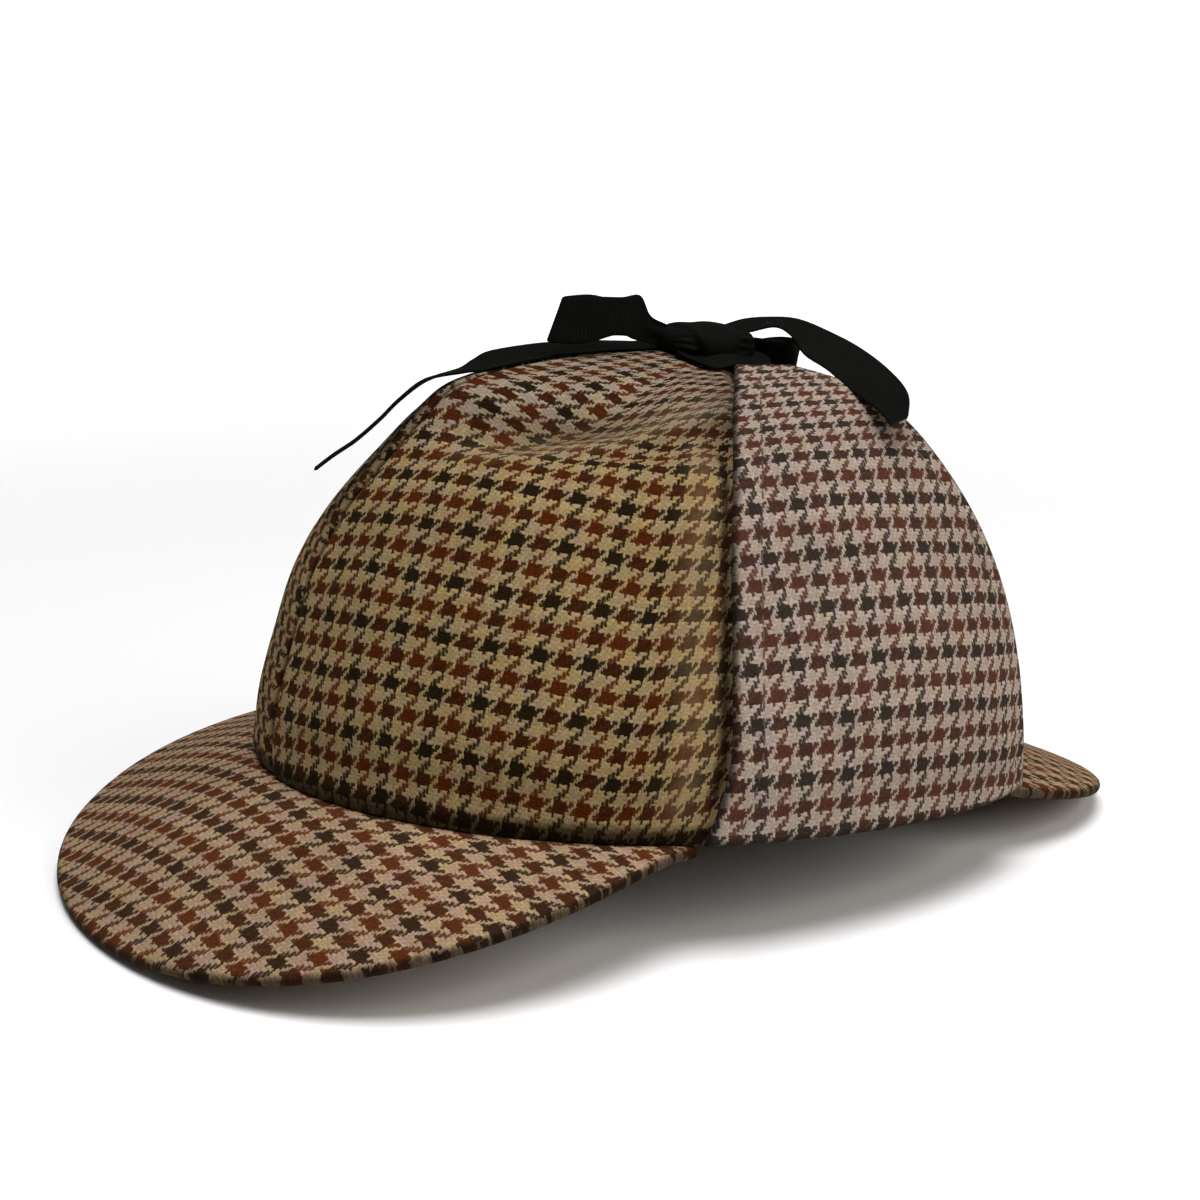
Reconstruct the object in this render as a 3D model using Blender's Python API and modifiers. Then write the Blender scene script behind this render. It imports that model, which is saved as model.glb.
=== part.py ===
"""Deerstalker hat standing on its two brims, made of cloth panels, brims, ear flaps and a bow.

The hat is laid out in its own frame in millimetres: the crown's lower edge is the plane z = 0,
-Y is the front, +X is the wearer's left and +Z is up.  An empty then pitches the whole hat
front-up by the few degrees at which it stands on the tips of its brims.  Lengths become metres
where a vertex or a point is placed.
"""
from collections import namedtuple
from math import atan2, cos, exp, pi, radians, sin

import bmesh
import bpy
from mathutils import Vector

MM = 0.001

# How the hat stands
PITCH = radians(3.8)
STANDING_HEIGHT = 24.1
CENTRE_SHIFT = 7.8

# Cloth, brim and ribbon thicknesses, and the gap between neighbours
CROWN_WALL = 2.0
BRIM_WALL = 3.0
FLAP_WALL = 2.4
RIBBON_WALL = 1.0
GAP = 0.3
FLAP_CLEARANCE = 0.7        # a flap lies a little looser than a seam

# Crown: one row for each level, with the reach to the front, the side and the rear, and how far
# behind the middle of the lower edge the widest place lies
CrownLevel = namedtuple("CrownLevel", "height front side rear middle")
CROWN_LEVELS = (
    CrownLevel(0.0, 103.0, 85.5, 99.5, 0.0),
    CrownLevel(16.0, 102.0, 84.8, 97.0, 0.4),
    CrownLevel(31.5, 98.7, 81.2, 93.5, 1.2),
    CrownLevel(47.5, 94.5, 74.0, 89.3, 2.2),
    CrownLevel(63.0, 86.5, 64.3, 83.5, 3.3),
    CrownLevel(75.5, 76.5, 56.0, 74.5, 4.4),
    CrownLevel(86.0, 67.3, 47.0, 63.5, 5.3),
    CrownLevel(94.5, 57.0, 35.5, 50.0, 6.1),
    CrownLevel(100.5, 31.0, 18.0, 27.0, 6.7),
    CrownLevel(103.0, -7.0, 0.0, 7.0, 7.0),
)
SIDE_SEAM_Y = 7.0
SIDE_FLATNESS = 0.04        # share of the side's reach taken off where the flaps press
SIDE_FLAT_ANGLE = radians(105.0)
SIDE_FLAT_WIDTH = radians(28.0)
CROWN_COLUMNS = 72
CROWN_ROWS = 20

# The long dent in the crown's top, one row for each point of its valley
DentPoint = namedtuple("DentPoint", "angle level depth half_width")
DENT = (
    DentPoint(8.0, 5.60, 0.0, 9.0),
    DentPoint(22.0, 5.90, 4.5, 9.5),
    DentPoint(45.0, 6.15, 8.5, 10.5),
    DentPoint(68.0, 6.40, 9.0, 10.5),
    DentPoint(88.0, 6.60, 6.0, 10.0),
    DentPoint(104.0, 6.70, 0.0, 9.0),
)

# Brims: an edge length that fades to nothing at the ends, and a droop that changes on the way
Brim = namedtuple("Brim", "name side half_angle length end_power fade droop_middle droop_end fan")
BRIMS = (
    Brim("front_brim", -1, 73.0, 55.7, 3.9, 1.57, 33.8, 10.9, 0.9),
    Brim("rear_brim", 1, 42.2, 38.5, 1.55, 0.92, 17.5, 13.2, 1.0),
)
BRIM_COLUMNS = 36
BRIM_ROWS = 6
BRIM_ARCH = 1.25            # how much of the droop comes towards the edge
BRIM_SEAT = 0.65            # how far below the crown's edge line a brim's upper face starts

# Ear flaps: the angles of the two upright edges and how far the rear edge stands off the crown
FlapLevel = namedtuple("FlapLevel", "height front_angle rear_angle stand_off")
FLAP_LEVELS = (
    FlapLevel(0.3, 73.5, 136.5, 0.8),
    FlapLevel(10.0, 75.3, 136.7, 1.0),
    FlapLevel(20.0, 76.3, 137.0, 1.2),
    FlapLevel(30.0, 76.2, 137.4, 1.6),
    FlapLevel(40.0, 76.4, 137.5, 2.0),
    FlapLevel(50.0, 76.8, 137.0, 2.4),
    FlapLevel(60.0, 77.3, 135.8, 2.8),
    FlapLevel(70.0, 77.8, 134.4, 3.2),
    FlapLevel(80.0, 78.5, 132.8, 3.8),
    FlapLevel(89.0, 80.0, 131.8, 4.2),
    FlapLevel(95.0, 83.0, 129.0, 3.2),
    FlapLevel(98.5, 87.0, 118.0, 1.2),
)
FLAP_COLUMNS = 15
STAND_OFF_POWER = 2.0

# Ribbon: one row for each point of a strip's middle line, with its width, the compass turn of the
# strip's width and how far that width leans up from level
RibbonPoint = namedtuple("RibbonPoint", "x y z width turn lean")
RIBBONS = {
    "ribbon_loop_front": (
        RibbonPoint(3.2, -6.6, 107.2, 3.6, 90.0, 90.0),
        RibbonPoint(5.4, -11.0, 108.7, 6.4, 90.0, 90.0),
        RibbonPoint(6.6, -15.5, 110.1, 9.8, 90.0, 88.0),
        RibbonPoint(6.6, -23.0, 110.2, 10.6, 90.0, 84.0),
        RibbonPoint(4.4, -29.6, 110.0, 10.8, 90.0, 80.0),
        RibbonPoint(0.6, -32.5, 109.8, 10.6, 90.0, 80.0),
        RibbonPoint(-2.8, -28.8, 109.9, 10.4, 90.0, 82.0),
        RibbonPoint(-3.4, -21.0, 110.2, 10.2, 90.0, 86.0),
        RibbonPoint(-1.8, -12.5, 109.2, 7.4, 90.0, 90.0),
        RibbonPoint(0.2, -6.6, 107.4, 4.0, 90.0, 90.0),
    ),
    "ribbon_loop_rear": (
        RibbonPoint(4.6, 19.6, 104.8, 4.6, 0.0, 40.0),
        RibbonPoint(7.4, 24.0, 103.8, 6.2, 0.0, 44.0),
        RibbonPoint(7.8, 27.6, 103.2, 6.4, 0.0, 54.0),
        RibbonPoint(5.0, 30.8, 103.2, 6.4, 0.0, 74.0),
        RibbonPoint(0.4, 32.0, 103.3, 6.6, 0.0, 90.0),
        RibbonPoint(-4.8, 29.8, 103.1, 7.0, 0.0, 136.0),
        RibbonPoint(-7.0, 25.6, 102.6, 7.0, 0.0, 172.0),
        RibbonPoint(-3.6, 19.8, 104.0, 4.6, 0.0, 176.0),
    ),
    "ribbon_tail_front": (
        RibbonPoint(0.2, -4.6, 104.4, 11.0, 0.0, 0.0),
        RibbonPoint(-0.4, -14.0, 104.0, 13.0, 0.0, 0.0),
        RibbonPoint(-0.8, -26.0, 103.4, 14.0, -4.0, 0.0),
        RibbonPoint(-1.0, -38.0, 102.0, 14.0, -8.0, 0.0),
        RibbonPoint(-1.4, -49.0, 100.1, 14.0, -14.0, 2.0),
        RibbonPoint(-2.0, -57.0, 97.6, 13.5, -20.0, 6.0),
        RibbonPoint(-2.4, -64.0, 94.0, 13.0, -25.0, 10.0),
        RibbonPoint(-2.6, -69.6, 89.8, 13.0, -27.0, 12.0),
        RibbonPoint(-2.6, -75.2, 84.2, 13.0, -28.0, 12.0),
        RibbonPoint(-2.6, -82.4, 78.4, 13.0, -28.0, 12.0),
        RibbonPoint(-2.4, -91.6, 73.4, 12.5, -28.0, 10.0),
    ),
    "ribbon_tail_rear": (
        RibbonPoint(2.4, 19.6, 108.7, 6.0, 0.0, 8.0),
        RibbonPoint(5.0, 23.5, 110.5, 8.0, 0.0, 10.0),
        RibbonPoint(8.0, 27.6, 110.9, 10.0, 4.0, 16.0),
        RibbonPoint(12.4, 31.0, 109.3, 10.5, 16.0, 24.0),
        RibbonPoint(17.8, 34.2, 107.0, 11.5, 34.0, 34.0),
        RibbonPoint(24.8, 36.7, 104.5, 12.0, 56.0, 34.0),
        RibbonPoint(33.8, 37.8, 101.9, 12.4, 78.0, 26.0),
        RibbonPoint(42.6, 36.6, 97.8, 13.5, 98.0, 18.0),
        RibbonPoint(47.8, 35.7, 94.0, 13.0, 114.0, 8.0),
        RibbonPoint(50.6, 34.8, 91.0, 12.0, 124.0, 2.0),
    ),
}
TIE_WIDTH = 13.0
TIE_TOP_HEIGHT = 101.8
TIE_POINTS = 5

# Knot: a fat lump wrapped by the ribbon
KNOT_CENTRE = (1.6, 6.6, 106.7)
KNOT_SIZE = (13.0, 22.6, 6.4)

COLOURS = {
    "tweed": (0.262, 0.170, 0.085, 1.0),
    "ribbon": (0.010, 0.012, 0.010, 1.0),
}


# --- scene helpers ---------------------------------------------------------------------------

def clear_scene():
    """Remove every object that the file holds."""
    for old in list(bpy.data.objects):
        bpy.data.objects.remove(old, do_unlink=True)


def new_collection(name):
    """Make a collection and link it to the scene."""
    made = bpy.data.collections.new(name)
    bpy.context.scene.collection.children.link(made)
    return made


def cloth_material(name, colour, roughness):
    """Make a plain Principled material."""
    made = bpy.data.materials.new(name)
    made.use_nodes = True
    shader = made.node_tree.nodes["Principled BSDF"]
    shader.inputs["Base Color"].default_value = colour
    shader.inputs["Roughness"].default_value = roughness
    shader.inputs["Metallic"].default_value = 0.0
    return made


def spline(before, start, end, after, part):
    """Read a Catmull-Rom curve between start and end."""
    return start + 0.5 * part * (
        end - before
        + part * (2.0 * before - 5.0 * start + 4.0 * end - after
                  + part * (3.0 * (start - end) + after - before)))


def table_row(rows, place, last_guard=None):
    """Read a smooth row from a table at a fractional row number."""
    count = len(rows)
    index = min(max(int(place), 0), count - 2)
    start, end = rows[index], rows[index + 1]
    mirror_low = [2.0 * a - b for a, b in zip(start, end)]
    mirror_high = [2.0 * b - a for a, b in zip(start, end)]
    before = rows[index - 1] if index > 0 else mirror_low
    after = rows[index + 2] if index + 2 < count else (last_guard or mirror_high)
    return [spline(*four, place - index) for four in zip(before, start, end, after)]


def place_of_height(rows, height):
    """Find the fractional row number of a height in a table whose first column is height."""
    for index in range(len(rows) - 1):
        low, high = rows[index][0], rows[index + 1][0]
        if height <= high:
            return index + (height - low) / (high - low)
    return len(rows) - 1.0


# --- crown shape -----------------------------------------------------------------------------

def crown_sizes(level):
    """Give the height, the three reaches and the middle at a fractional level of the crown."""
    apex, last = CROWN_LEVELS[-1], CROWN_LEVELS[-2]
    beyond = [2.0 * top - low for top, low in zip(apex, last)]
    beyond[0] = last.height
    return table_row(CROWN_LEVELS, level, last_guard=beyond)


def crown_face(angle, level):
    """Give a point of the crown's outer face before it is dented, in millimetres."""
    height, front, side, rear, middle = crown_sizes(level)
    away = (abs(angle) - SIDE_FLAT_ANGLE) / SIDE_FLAT_WIDTH
    side *= 1.0 - SIDE_FLATNESS * exp(-away * away)
    reach = front + middle if cos(angle) > 0.0 else rear - middle
    return Vector((side * sin(angle), middle - reach * cos(angle), height))


def crown_outward(angle, level):
    """Give the outward direction of the crown's face."""
    step = 0.02
    along = crown_face(angle + step, level) - crown_face(angle - step, level)
    top = len(CROWN_LEVELS) - 1.0
    up = crown_face(angle, min(level + step, top)) - crown_face(angle, level - step)
    return along.cross(up).normalized()


def dent_depth(point):
    """Give how far the long dent pushes a point of the crown inwards."""
    deepest = 0.0
    for start, end in zip(DENT, DENT[1:]):
        steps = 8
        for index in range(steps + 1):
            part = index / steps
            angle, level, depth, half_width = [
                a + (b - a) * part for a, b in zip(start, end)]
            distance = (point - crown_face(radians(angle), level)).length
            push = depth * exp(-(distance / half_width) ** 2)
            deepest = max(deepest, push)
    return deepest


def dented_face(angle, level):
    """Give a point of the crown's outer face with the dent in it."""
    point = crown_face(angle, level)
    if level >= len(CROWN_LEVELS) - 1.0:
        return point
    depth = dent_depth(point)
    if depth < 0.01:
        return point
    return point - crown_outward(angle, level) * depth


# --- mesh helpers ----------------------------------------------------------------------------

def mapped_grid(name, columns, rows, shape):
    """Make a grid and move each of its vertices to shape(u, v), both running from 0 to 1."""
    grid = bmesh.new()
    bmesh.ops.create_grid(grid, x_segments=columns, y_segments=rows, size=0.5)
    for vertex in grid.verts:
        vertex.co = shape(vertex.co.x + 0.5, vertex.co.y + 0.5) * MM
    mesh = bpy.data.meshes.new(name)
    grid.to_mesh(mesh)
    grid.free()
    mesh.shade_smooth()
    return mesh


def put(name, mesh, collection, material, holder):
    """Make an object of a mesh, in a collection, under the hat's empty."""
    made = bpy.data.objects.new(name, mesh)
    collection.objects.link(made)
    made.data.materials.append(material)
    made.parent = holder
    return made


def give_wall(target, thickness, offset):
    """Give an open sheet its thickness; offset 1 is outwards and -1 is inwards."""
    wall = target.modifiers.new("wall", "SOLIDIFY")
    wall.thickness = thickness * MM
    wall.offset = offset
    wall.use_even_offset = True
    wall.use_quality_normals = True


# --- crown panels ----------------------------------------------------------------------------

def crown_mesh():
    """Make the whole crown as one open bowl, with its seam and its apex closed."""
    top = len(CROWN_LEVELS) - 1.0

    def shape(u, v):
        return dented_face((2.0 * u - 1.0) * pi, v * top)

    mesh = mapped_grid("crown", CROWN_COLUMNS, CROWN_ROWS, shape)
    bowl = bmesh.new()
    bowl.from_mesh(mesh)
    bmesh.ops.remove_doubles(bowl, verts=bowl.verts, dist=0.01 * MM)
    bowl.to_mesh(mesh)
    bowl.free()
    return mesh


def quarter_box(name, left, rear, collection, holder):
    """Make the box that holds one quarter of the crown, half a gap clear of both seams."""
    size = 260.0
    box = bmesh.new()
    bmesh.ops.create_cube(box, size=size * MM)
    mesh = bpy.data.meshes.new(name)
    box.to_mesh(mesh)
    box.free()
    cutter = bpy.data.objects.new(name, mesh)
    collection.objects.link(cutter)
    clear = 0.5 * (size + GAP)
    cutter.location = Vector((left * clear, rear * clear + SIDE_SEAM_Y, 0.0)) * MM
    cutter.parent = holder
    cutter.hide_render = True
    cutter.display_type = "WIRE"
    return cutter


def make_crown(parts, cutters, material, holder):
    """Make the four quarter panels of the crown."""
    whole = crown_mesh()
    for side, left in (("left", 1), ("right", -1)):
        for end, rear in (("front", -1), ("rear", 1)):
            name = f"crown_panel_{end}_{side}"
            panel = put(name, whole.copy(), parts, material, holder)
            give_wall(panel, CROWN_WALL, -1.0)
            cut = panel.modifiers.new("quarter", "BOOLEAN")
            cut.operation = "INTERSECT"
            cut.solver = "EXACT"
            cut.object = quarter_box(f"{name}_cutter", left, rear, cutters, holder)


# --- brims -----------------------------------------------------------------------------------

def brim_point(brim, u, v):
    """Give a point of a brim's upper face; u runs along it and v from the crown to the edge."""
    half_angle = radians(brim.half_angle)
    turn = (2.0 * u - 1.0) * half_angle
    base_angle = turn if brim.side < 0 else pi - turn
    root = crown_face(base_angle, 0.0)
    middle, sides = CROWN_LEVELS[0].front, CROWN_LEVELS[0].side
    facing = atan2(sin(turn) / sides, cos(turn) / middle) * brim.fan
    out = Vector((sin(facing), brim.side * cos(facing), 0.0))
    share = min(abs(turn) / half_angle, 1.0)
    length = brim.length * (1.0 - share ** brim.end_power) ** brim.fade
    ease = sin(turn) ** 2 / sin(half_angle) ** 2
    droop = radians(brim.droop_middle + (brim.droop_end - brim.droop_middle) * ease)
    inner = CROWN_WALL
    reach = v * (length * cos(droop) + inner) - inner
    part = max(reach, 0.0) / max(length * cos(droop), 0.001)
    drop = length * sin(droop) * part ** BRIM_ARCH
    return root + out * reach + Vector((0.0, 0.0, -BRIM_SEAT - drop))


def make_brims(parts, material, holder):
    """Make the front and the rear brim."""
    for brim in BRIMS:
        mesh = mapped_grid(
            brim.name, BRIM_COLUMNS, BRIM_ROWS, lambda u, v, b=brim: brim_point(b, u, v))
        face_up(mesh)
        made = put(brim.name, mesh, parts, material, holder)
        give_wall(made, BRIM_WALL, -1.0)


def face_up(mesh):
    """Turn a sheet's faces so that they look up on the whole."""
    sheet = bmesh.new()
    sheet.from_mesh(mesh)
    if sum(face.normal.z * face.calc_area() for face in sheet.faces) < 0.0:
        bmesh.ops.reverse_faces(sheet, faces=sheet.faces)
    sheet.to_mesh(mesh)
    sheet.free()


# --- ear flaps -------------------------------------------------------------------------------

def flap_point(side, u, station):
    """Give a point of a flap's inner face at a row of its table."""
    row = FLAP_LEVELS[station]
    angle = radians(row.front_angle + (row.rear_angle - row.front_angle) * u)
    level = place_of_height(CROWN_LEVELS, row.height)
    out = crown_outward(angle, level)
    level_out = Vector((out.x, out.y, 0.0)).normalized()
    stand_off = row.stand_off * u ** STAND_OFF_POWER
    point = crown_face(angle, level) + out * FLAP_CLEARANCE + level_out * stand_off
    return Vector((side * point.x, point.y, point.z))


def make_flaps(parts, material, holder):
    """Make the two ear flaps."""
    rows = len(FLAP_LEVELS) - 1
    for name, side in (("ear_flap_left", 1), ("ear_flap_right", -1)):
        mesh = mapped_grid(
            name, FLAP_COLUMNS, rows,
            lambda u, v, s=side: flap_point(s, u, round(v * rows)))
        face_outwards(mesh)
        made = put(name, mesh, parts, material, holder)
        give_wall(made, FLAP_WALL, 1.0)


def face_outwards(mesh):
    """Turn a sheet's faces so that they look away from the hat's middle line on the whole."""
    sheet = bmesh.new()
    sheet.from_mesh(mesh)
    total = 0.0
    for face in sheet.faces:
        centre = face.calc_center_median()
        total += face.normal.dot(Vector((centre.x, centre.y, 0.0))) * face.calc_area()
    if total < 0.0:
        bmesh.ops.reverse_faces(sheet, faces=sheet.faces)
    sheet.to_mesh(mesh)
    sheet.free()


# --- ribbon ----------------------------------------------------------------------------------

def ribbon_mesh(name, points, steps_each=3):
    """Make a ribbon's sheet along the points of its middle line."""
    steps = (len(points) - 1) * steps_each

    def shape(u, v):
        x, y, z, width, turn, lean = table_row(points, u * (len(points) - 1))
        turn, lean = radians(turn), radians(lean)
        across = Vector((cos(turn) * cos(lean), sin(turn) * cos(lean), sin(lean)))
        return Vector((x, y, z)) + across * (v - 0.5) * width

    return mapped_grid(name, steps, 1, shape)


def tie_points(side):
    """Give the rows of the short tie from a flap's top edge up the crown to the knot."""
    top_row = FLAP_LEVELS[-1]
    angle = radians(0.5 * (top_row.front_angle + top_row.rear_angle) - 12.0)
    low_level = place_of_height(CROWN_LEVELS, top_row.height + 0.6)
    high_level = place_of_height(CROWN_LEVELS, TIE_TOP_HEIGHT)
    rows = []
    for index in range(TIE_POINTS):
        part = index / (TIE_POINTS - 1)
        level = low_level + (high_level - low_level) * part
        face = crown_face(angle, level)
        spot = face + crown_outward(angle, level) * (GAP + RIBBON_WALL)
        rows.append(RibbonPoint(side * spot.x, spot.y, spot.z, TIE_WIDTH, side * 90.0 - 4.0, 0.0))
    return tuple(rows)


def make_ribbons(parts, material, holder):
    """Make the ties, the knot, the loops and the tails of the bow."""
    strips = dict(RIBBONS)
    strips["ribbon_tie_left"] = tie_points(1)
    strips["ribbon_tie_right"] = tie_points(-1)
    for name, points in strips.items():
        made = put(name, ribbon_mesh(name, points), parts, material, holder)
        give_wall(made, RIBBON_WALL, 0.0)
    lump = bmesh.new()
    bmesh.ops.create_uvsphere(lump, u_segments=16, v_segments=10, radius=0.5)
    bmesh.ops.scale(lump, verts=lump.verts, vec=Vector(KNOT_SIZE) * MM)
    bmesh.ops.translate(lump, verts=lump.verts, vec=Vector(KNOT_CENTRE) * MM)
    mesh = bpy.data.meshes.new("ribbon_knot")
    lump.to_mesh(mesh)
    lump.free()
    mesh.shade_smooth()
    put("ribbon_knot", mesh, parts, material, holder)


def main():
    """Build the hat."""
    clear_scene()
    parts = new_collection("deerstalker_hat")
    cutters = new_collection("cutters")
    tweed = cloth_material("houndstooth_tweed", COLOURS["tweed"], 0.9)
    ribbon = cloth_material("black_ribbon", COLOURS["ribbon"], 0.55)
    holder = bpy.data.objects.new("hat_stance", None)
    parts.objects.link(holder)
    holder.rotation_euler = (-PITCH, 0.0, 0.0)
    holder.location = Vector((0.0, CENTRE_SHIFT, STANDING_HEIGHT)) * MM
    make_crown(parts, cutters, tweed, holder)
    make_brims(parts, tweed, holder)
    make_flaps(parts, tweed, holder)
    make_ribbons(parts, ribbon, holder)


main()
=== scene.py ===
"""Dresses the deerstalker hat: checked tweed cut in panels, rolled seams, stitched ear flaps and a tied bow.

Shapes are worked out in the hat's own frame in millimetres, where the crown's lower edge is the plane
z = 0, -Y is the front and +X the wearer's left. Stance turns them into the frame's metres. Each piece
of cloth is laid flat as a cutter would, and that flat cut is its UV map, in metres.
"""

import logging
from collections.abc import Callable, Iterable
from dataclasses import dataclass
from enum import Enum
from math import atan2, cos, pi, radians, sin

import bmesh
import bpy
import numpy as np
from mathutils import Matrix, Vector, noise


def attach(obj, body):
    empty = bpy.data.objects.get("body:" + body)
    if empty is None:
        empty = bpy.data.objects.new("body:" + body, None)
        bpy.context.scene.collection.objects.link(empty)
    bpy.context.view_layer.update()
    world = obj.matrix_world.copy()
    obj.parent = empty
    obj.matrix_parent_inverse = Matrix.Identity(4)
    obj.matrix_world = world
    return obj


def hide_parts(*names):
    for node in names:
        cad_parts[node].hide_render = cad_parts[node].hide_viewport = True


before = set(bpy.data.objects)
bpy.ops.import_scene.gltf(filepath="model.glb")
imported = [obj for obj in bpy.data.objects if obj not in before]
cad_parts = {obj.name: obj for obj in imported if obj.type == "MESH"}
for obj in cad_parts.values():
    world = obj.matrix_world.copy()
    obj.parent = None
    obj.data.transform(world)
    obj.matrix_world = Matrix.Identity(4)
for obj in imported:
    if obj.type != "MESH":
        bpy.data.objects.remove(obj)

LOG = logging.getLogger("deerstalker")
MM = 0.001
ROOT = "root"
FLAT_CUT = "flat_cut"
CREASE = "crease_mm"
# Vertex layer for the painted highlight on the rolls
ROLL_HIGHLIGHT = "roll_highlight"

# The node kinds that the finishes use most
MATH = "ShaderNodeMath"
VECTORS = "ShaderNodeVectorMath"
MIX = "ShaderNodeMix"
RANGE = "ShaderNodeMapRange"
NOISE = "ShaderNodeTexNoise"

# A Mix node's colours are its inputs 6 and 7 and its output 2, and its numbers are 2, 3 and 0
COLOURS = {"output": 2, "data_type": "RGBA"}
TINTED = {**COLOURS, "blend_type": "MULTIPLY"}
SMOOTH = {"interpolation_type": "SMOOTHSTEP"}

Grid = np.ndarray
Socket = bpy.types.NodeSocket
Adder = Callable[..., Socket]
Swell = tuple[float, float, float]


class Slot(Enum):
    """The record's material slots."""

    TWEED = "houndstooth_tweed"
    RIBBON = "black_ribbon"


class Side(Enum):
    """A side of the hat, as the sign of its x."""

    LEFT = 1
    RIGHT = -1


class End(Enum):
    """An end of the hat, as the sign of its y."""

    FRONT = -1
    REAR = 1


class Hold(Enum):
    """What keeps a piece of cloth or ribbon in its shape."""

    STRETCHED = "stretched"
    GATHERED = "gathered"
    DRAPED = "draped"


# --- numbers ---------------------------------------------------------------------------------


def linear(code: str) -> tuple[float, float, float, float]:
    """Turns an sRGB hex colour to linear light.

    Args:
        code: Six hex digits after a hash sign.

    Returns:
        Red, green, blue and an alpha of 1.
    """
    parts = [int(code[i : i + 2], 16) / 255.0 for i in (1, 3, 5)]
    return (*[c / 12.92 if c <= 0.04045 else ((c + 0.055) / 1.055) ** 2.4 for c in parts], 1.0)


def read_table(rows: np.ndarray, place: Grid, guard: np.ndarray | None = None) -> Grid:
    """Reads a table smoothly between its rows, on a curve that passes through all of them.

    Args:
        rows: The table, one row for each station.
        place: Row numbers with fractions, of any shape.
        guard: The row that the curve heads for after the last one.

    Returns:
        The rows at those places, with the table's columns as the last axis.
    """
    place = np.clip(place, 0.0, len(rows) - 1.0)
    index = np.minimum(place.astype(int), len(rows) - 2)
    part = (place - index)[..., None]
    padded = np.vstack([2 * rows[0] - rows[1], rows, 2 * rows[-1] - rows[-2] if guard is None else guard])
    before, start, end, after = (padded[index + k] for k in range(4))
    bend = 2 * before - 5 * start + 4 * end - after + part * (3 * (start - end) + after - before)
    return start + 0.5 * part * (end - before + part * bend)


def hump(distance: Grid, width: float) -> Grid:
    """A smooth bell of height 1 that falls away over that width."""
    return np.exp(-np.square(distance / width))


def ease(value: Grid, low: float, high: float) -> Grid:
    """Goes smoothly from 0 at low to 1 at high."""
    part = np.clip((value - low) / (high - low), 0.0, 1.0)
    return part * part * (3.0 - 2.0 * part)


def turn_off(past: Grid, softness: float) -> Grid:
    """Follows a distance once it is above 0, with a soft turn of that many millimetres."""
    return softness * np.logaddexp(0.0, past / softness)


def rumple(points: Grid, size: float, seed: float) -> Grid:
    """Soft unevenness of hand-shaped cloth.

    Args:
        points: Points in millimetres, with x, y and z as the last axis.
        size: How far apart the swells lie, in millimetres.
        seed: A shift that makes two pieces differ.

    Returns:
        Values from about -1 to 1, one for each point.
    """
    flat = points.reshape(-1, 3) / size + seed
    return np.array([noise.noise(Vector(p)) for p in flat]).reshape(points.shape[:-1])


def sag(points: Grid, swell: Swell) -> Grid:
    """How deep soft swells sink points of a sheet.

    Args:
        points: Points in millimetres.
        swell: Half the swells' depth, how far apart they lie, and a shift that makes two pieces differ.

    Returns:
        Depths in millimetres.
    """
    depth, size, seed = swell
    return depth * (1.0 + rumple(points, size, seed))


def ridges(distance: Grid, rows: Iterable[tuple[float, float, float]]) -> Grid:
    """Adds up soft ridges, and furrows below 0, each given by its height, place and width."""
    return sum(height * hump(distance - place, width) for height, place, width in rows)


def crossings(us: np.ndarray, vs: np.ndarray) -> tuple[Grid, Grid]:
    """The u and the v of every crossing of a grid, rows along v and columns along u."""
    v, u = np.meshgrid(vs, us, indexing="ij")
    return u, v


def even_crossings(columns: int, rows: int) -> tuple[Grid, Grid]:
    """The same for that many even places each way, from 0 to 1."""
    return crossings(np.linspace(0, 1, columns), np.linspace(0, 1, rows))


def nearest(flat: Grid, border: Grid) -> Grid:
    """How far each point of a flat cut is from the nearest point of a border, in millimetres."""
    return np.stack([np.linalg.norm(row[:, None] - border, axis=-1).min(axis=1) for row in flat])


def rim_distance(flat: Grid) -> Grid:
    """How far each point of a flat cut is from the cut's edge, in millimetres."""
    return nearest(flat, np.vstack([flat[0], flat[-1], flat[:, 0], flat[:, -1]]))


def outwards(points: Grid) -> Grid:
    """Gives each point of a grid its direction out of the sheet.

    Args:
        points: A grid of points, rows along v and columns along u.

    Returns:
        Unit vectors of the same shape, right-handed from u and v.
    """
    along = np.gradient(points, axis=1)
    up = np.gradient(points, axis=0)
    found = np.cross(along, up)
    size = np.linalg.norm(found, axis=-1, keepdims=True)
    found = np.where(size > 1e-9, found / np.maximum(size, 1e-9), 0.0)
    for row in (0, -1):
        near = found[1] if row == 0 else found[-2]
        flat = np.linalg.norm(found[row], axis=-1) < 0.5
        found[row][flat] = near[flat]
    return found


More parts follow.
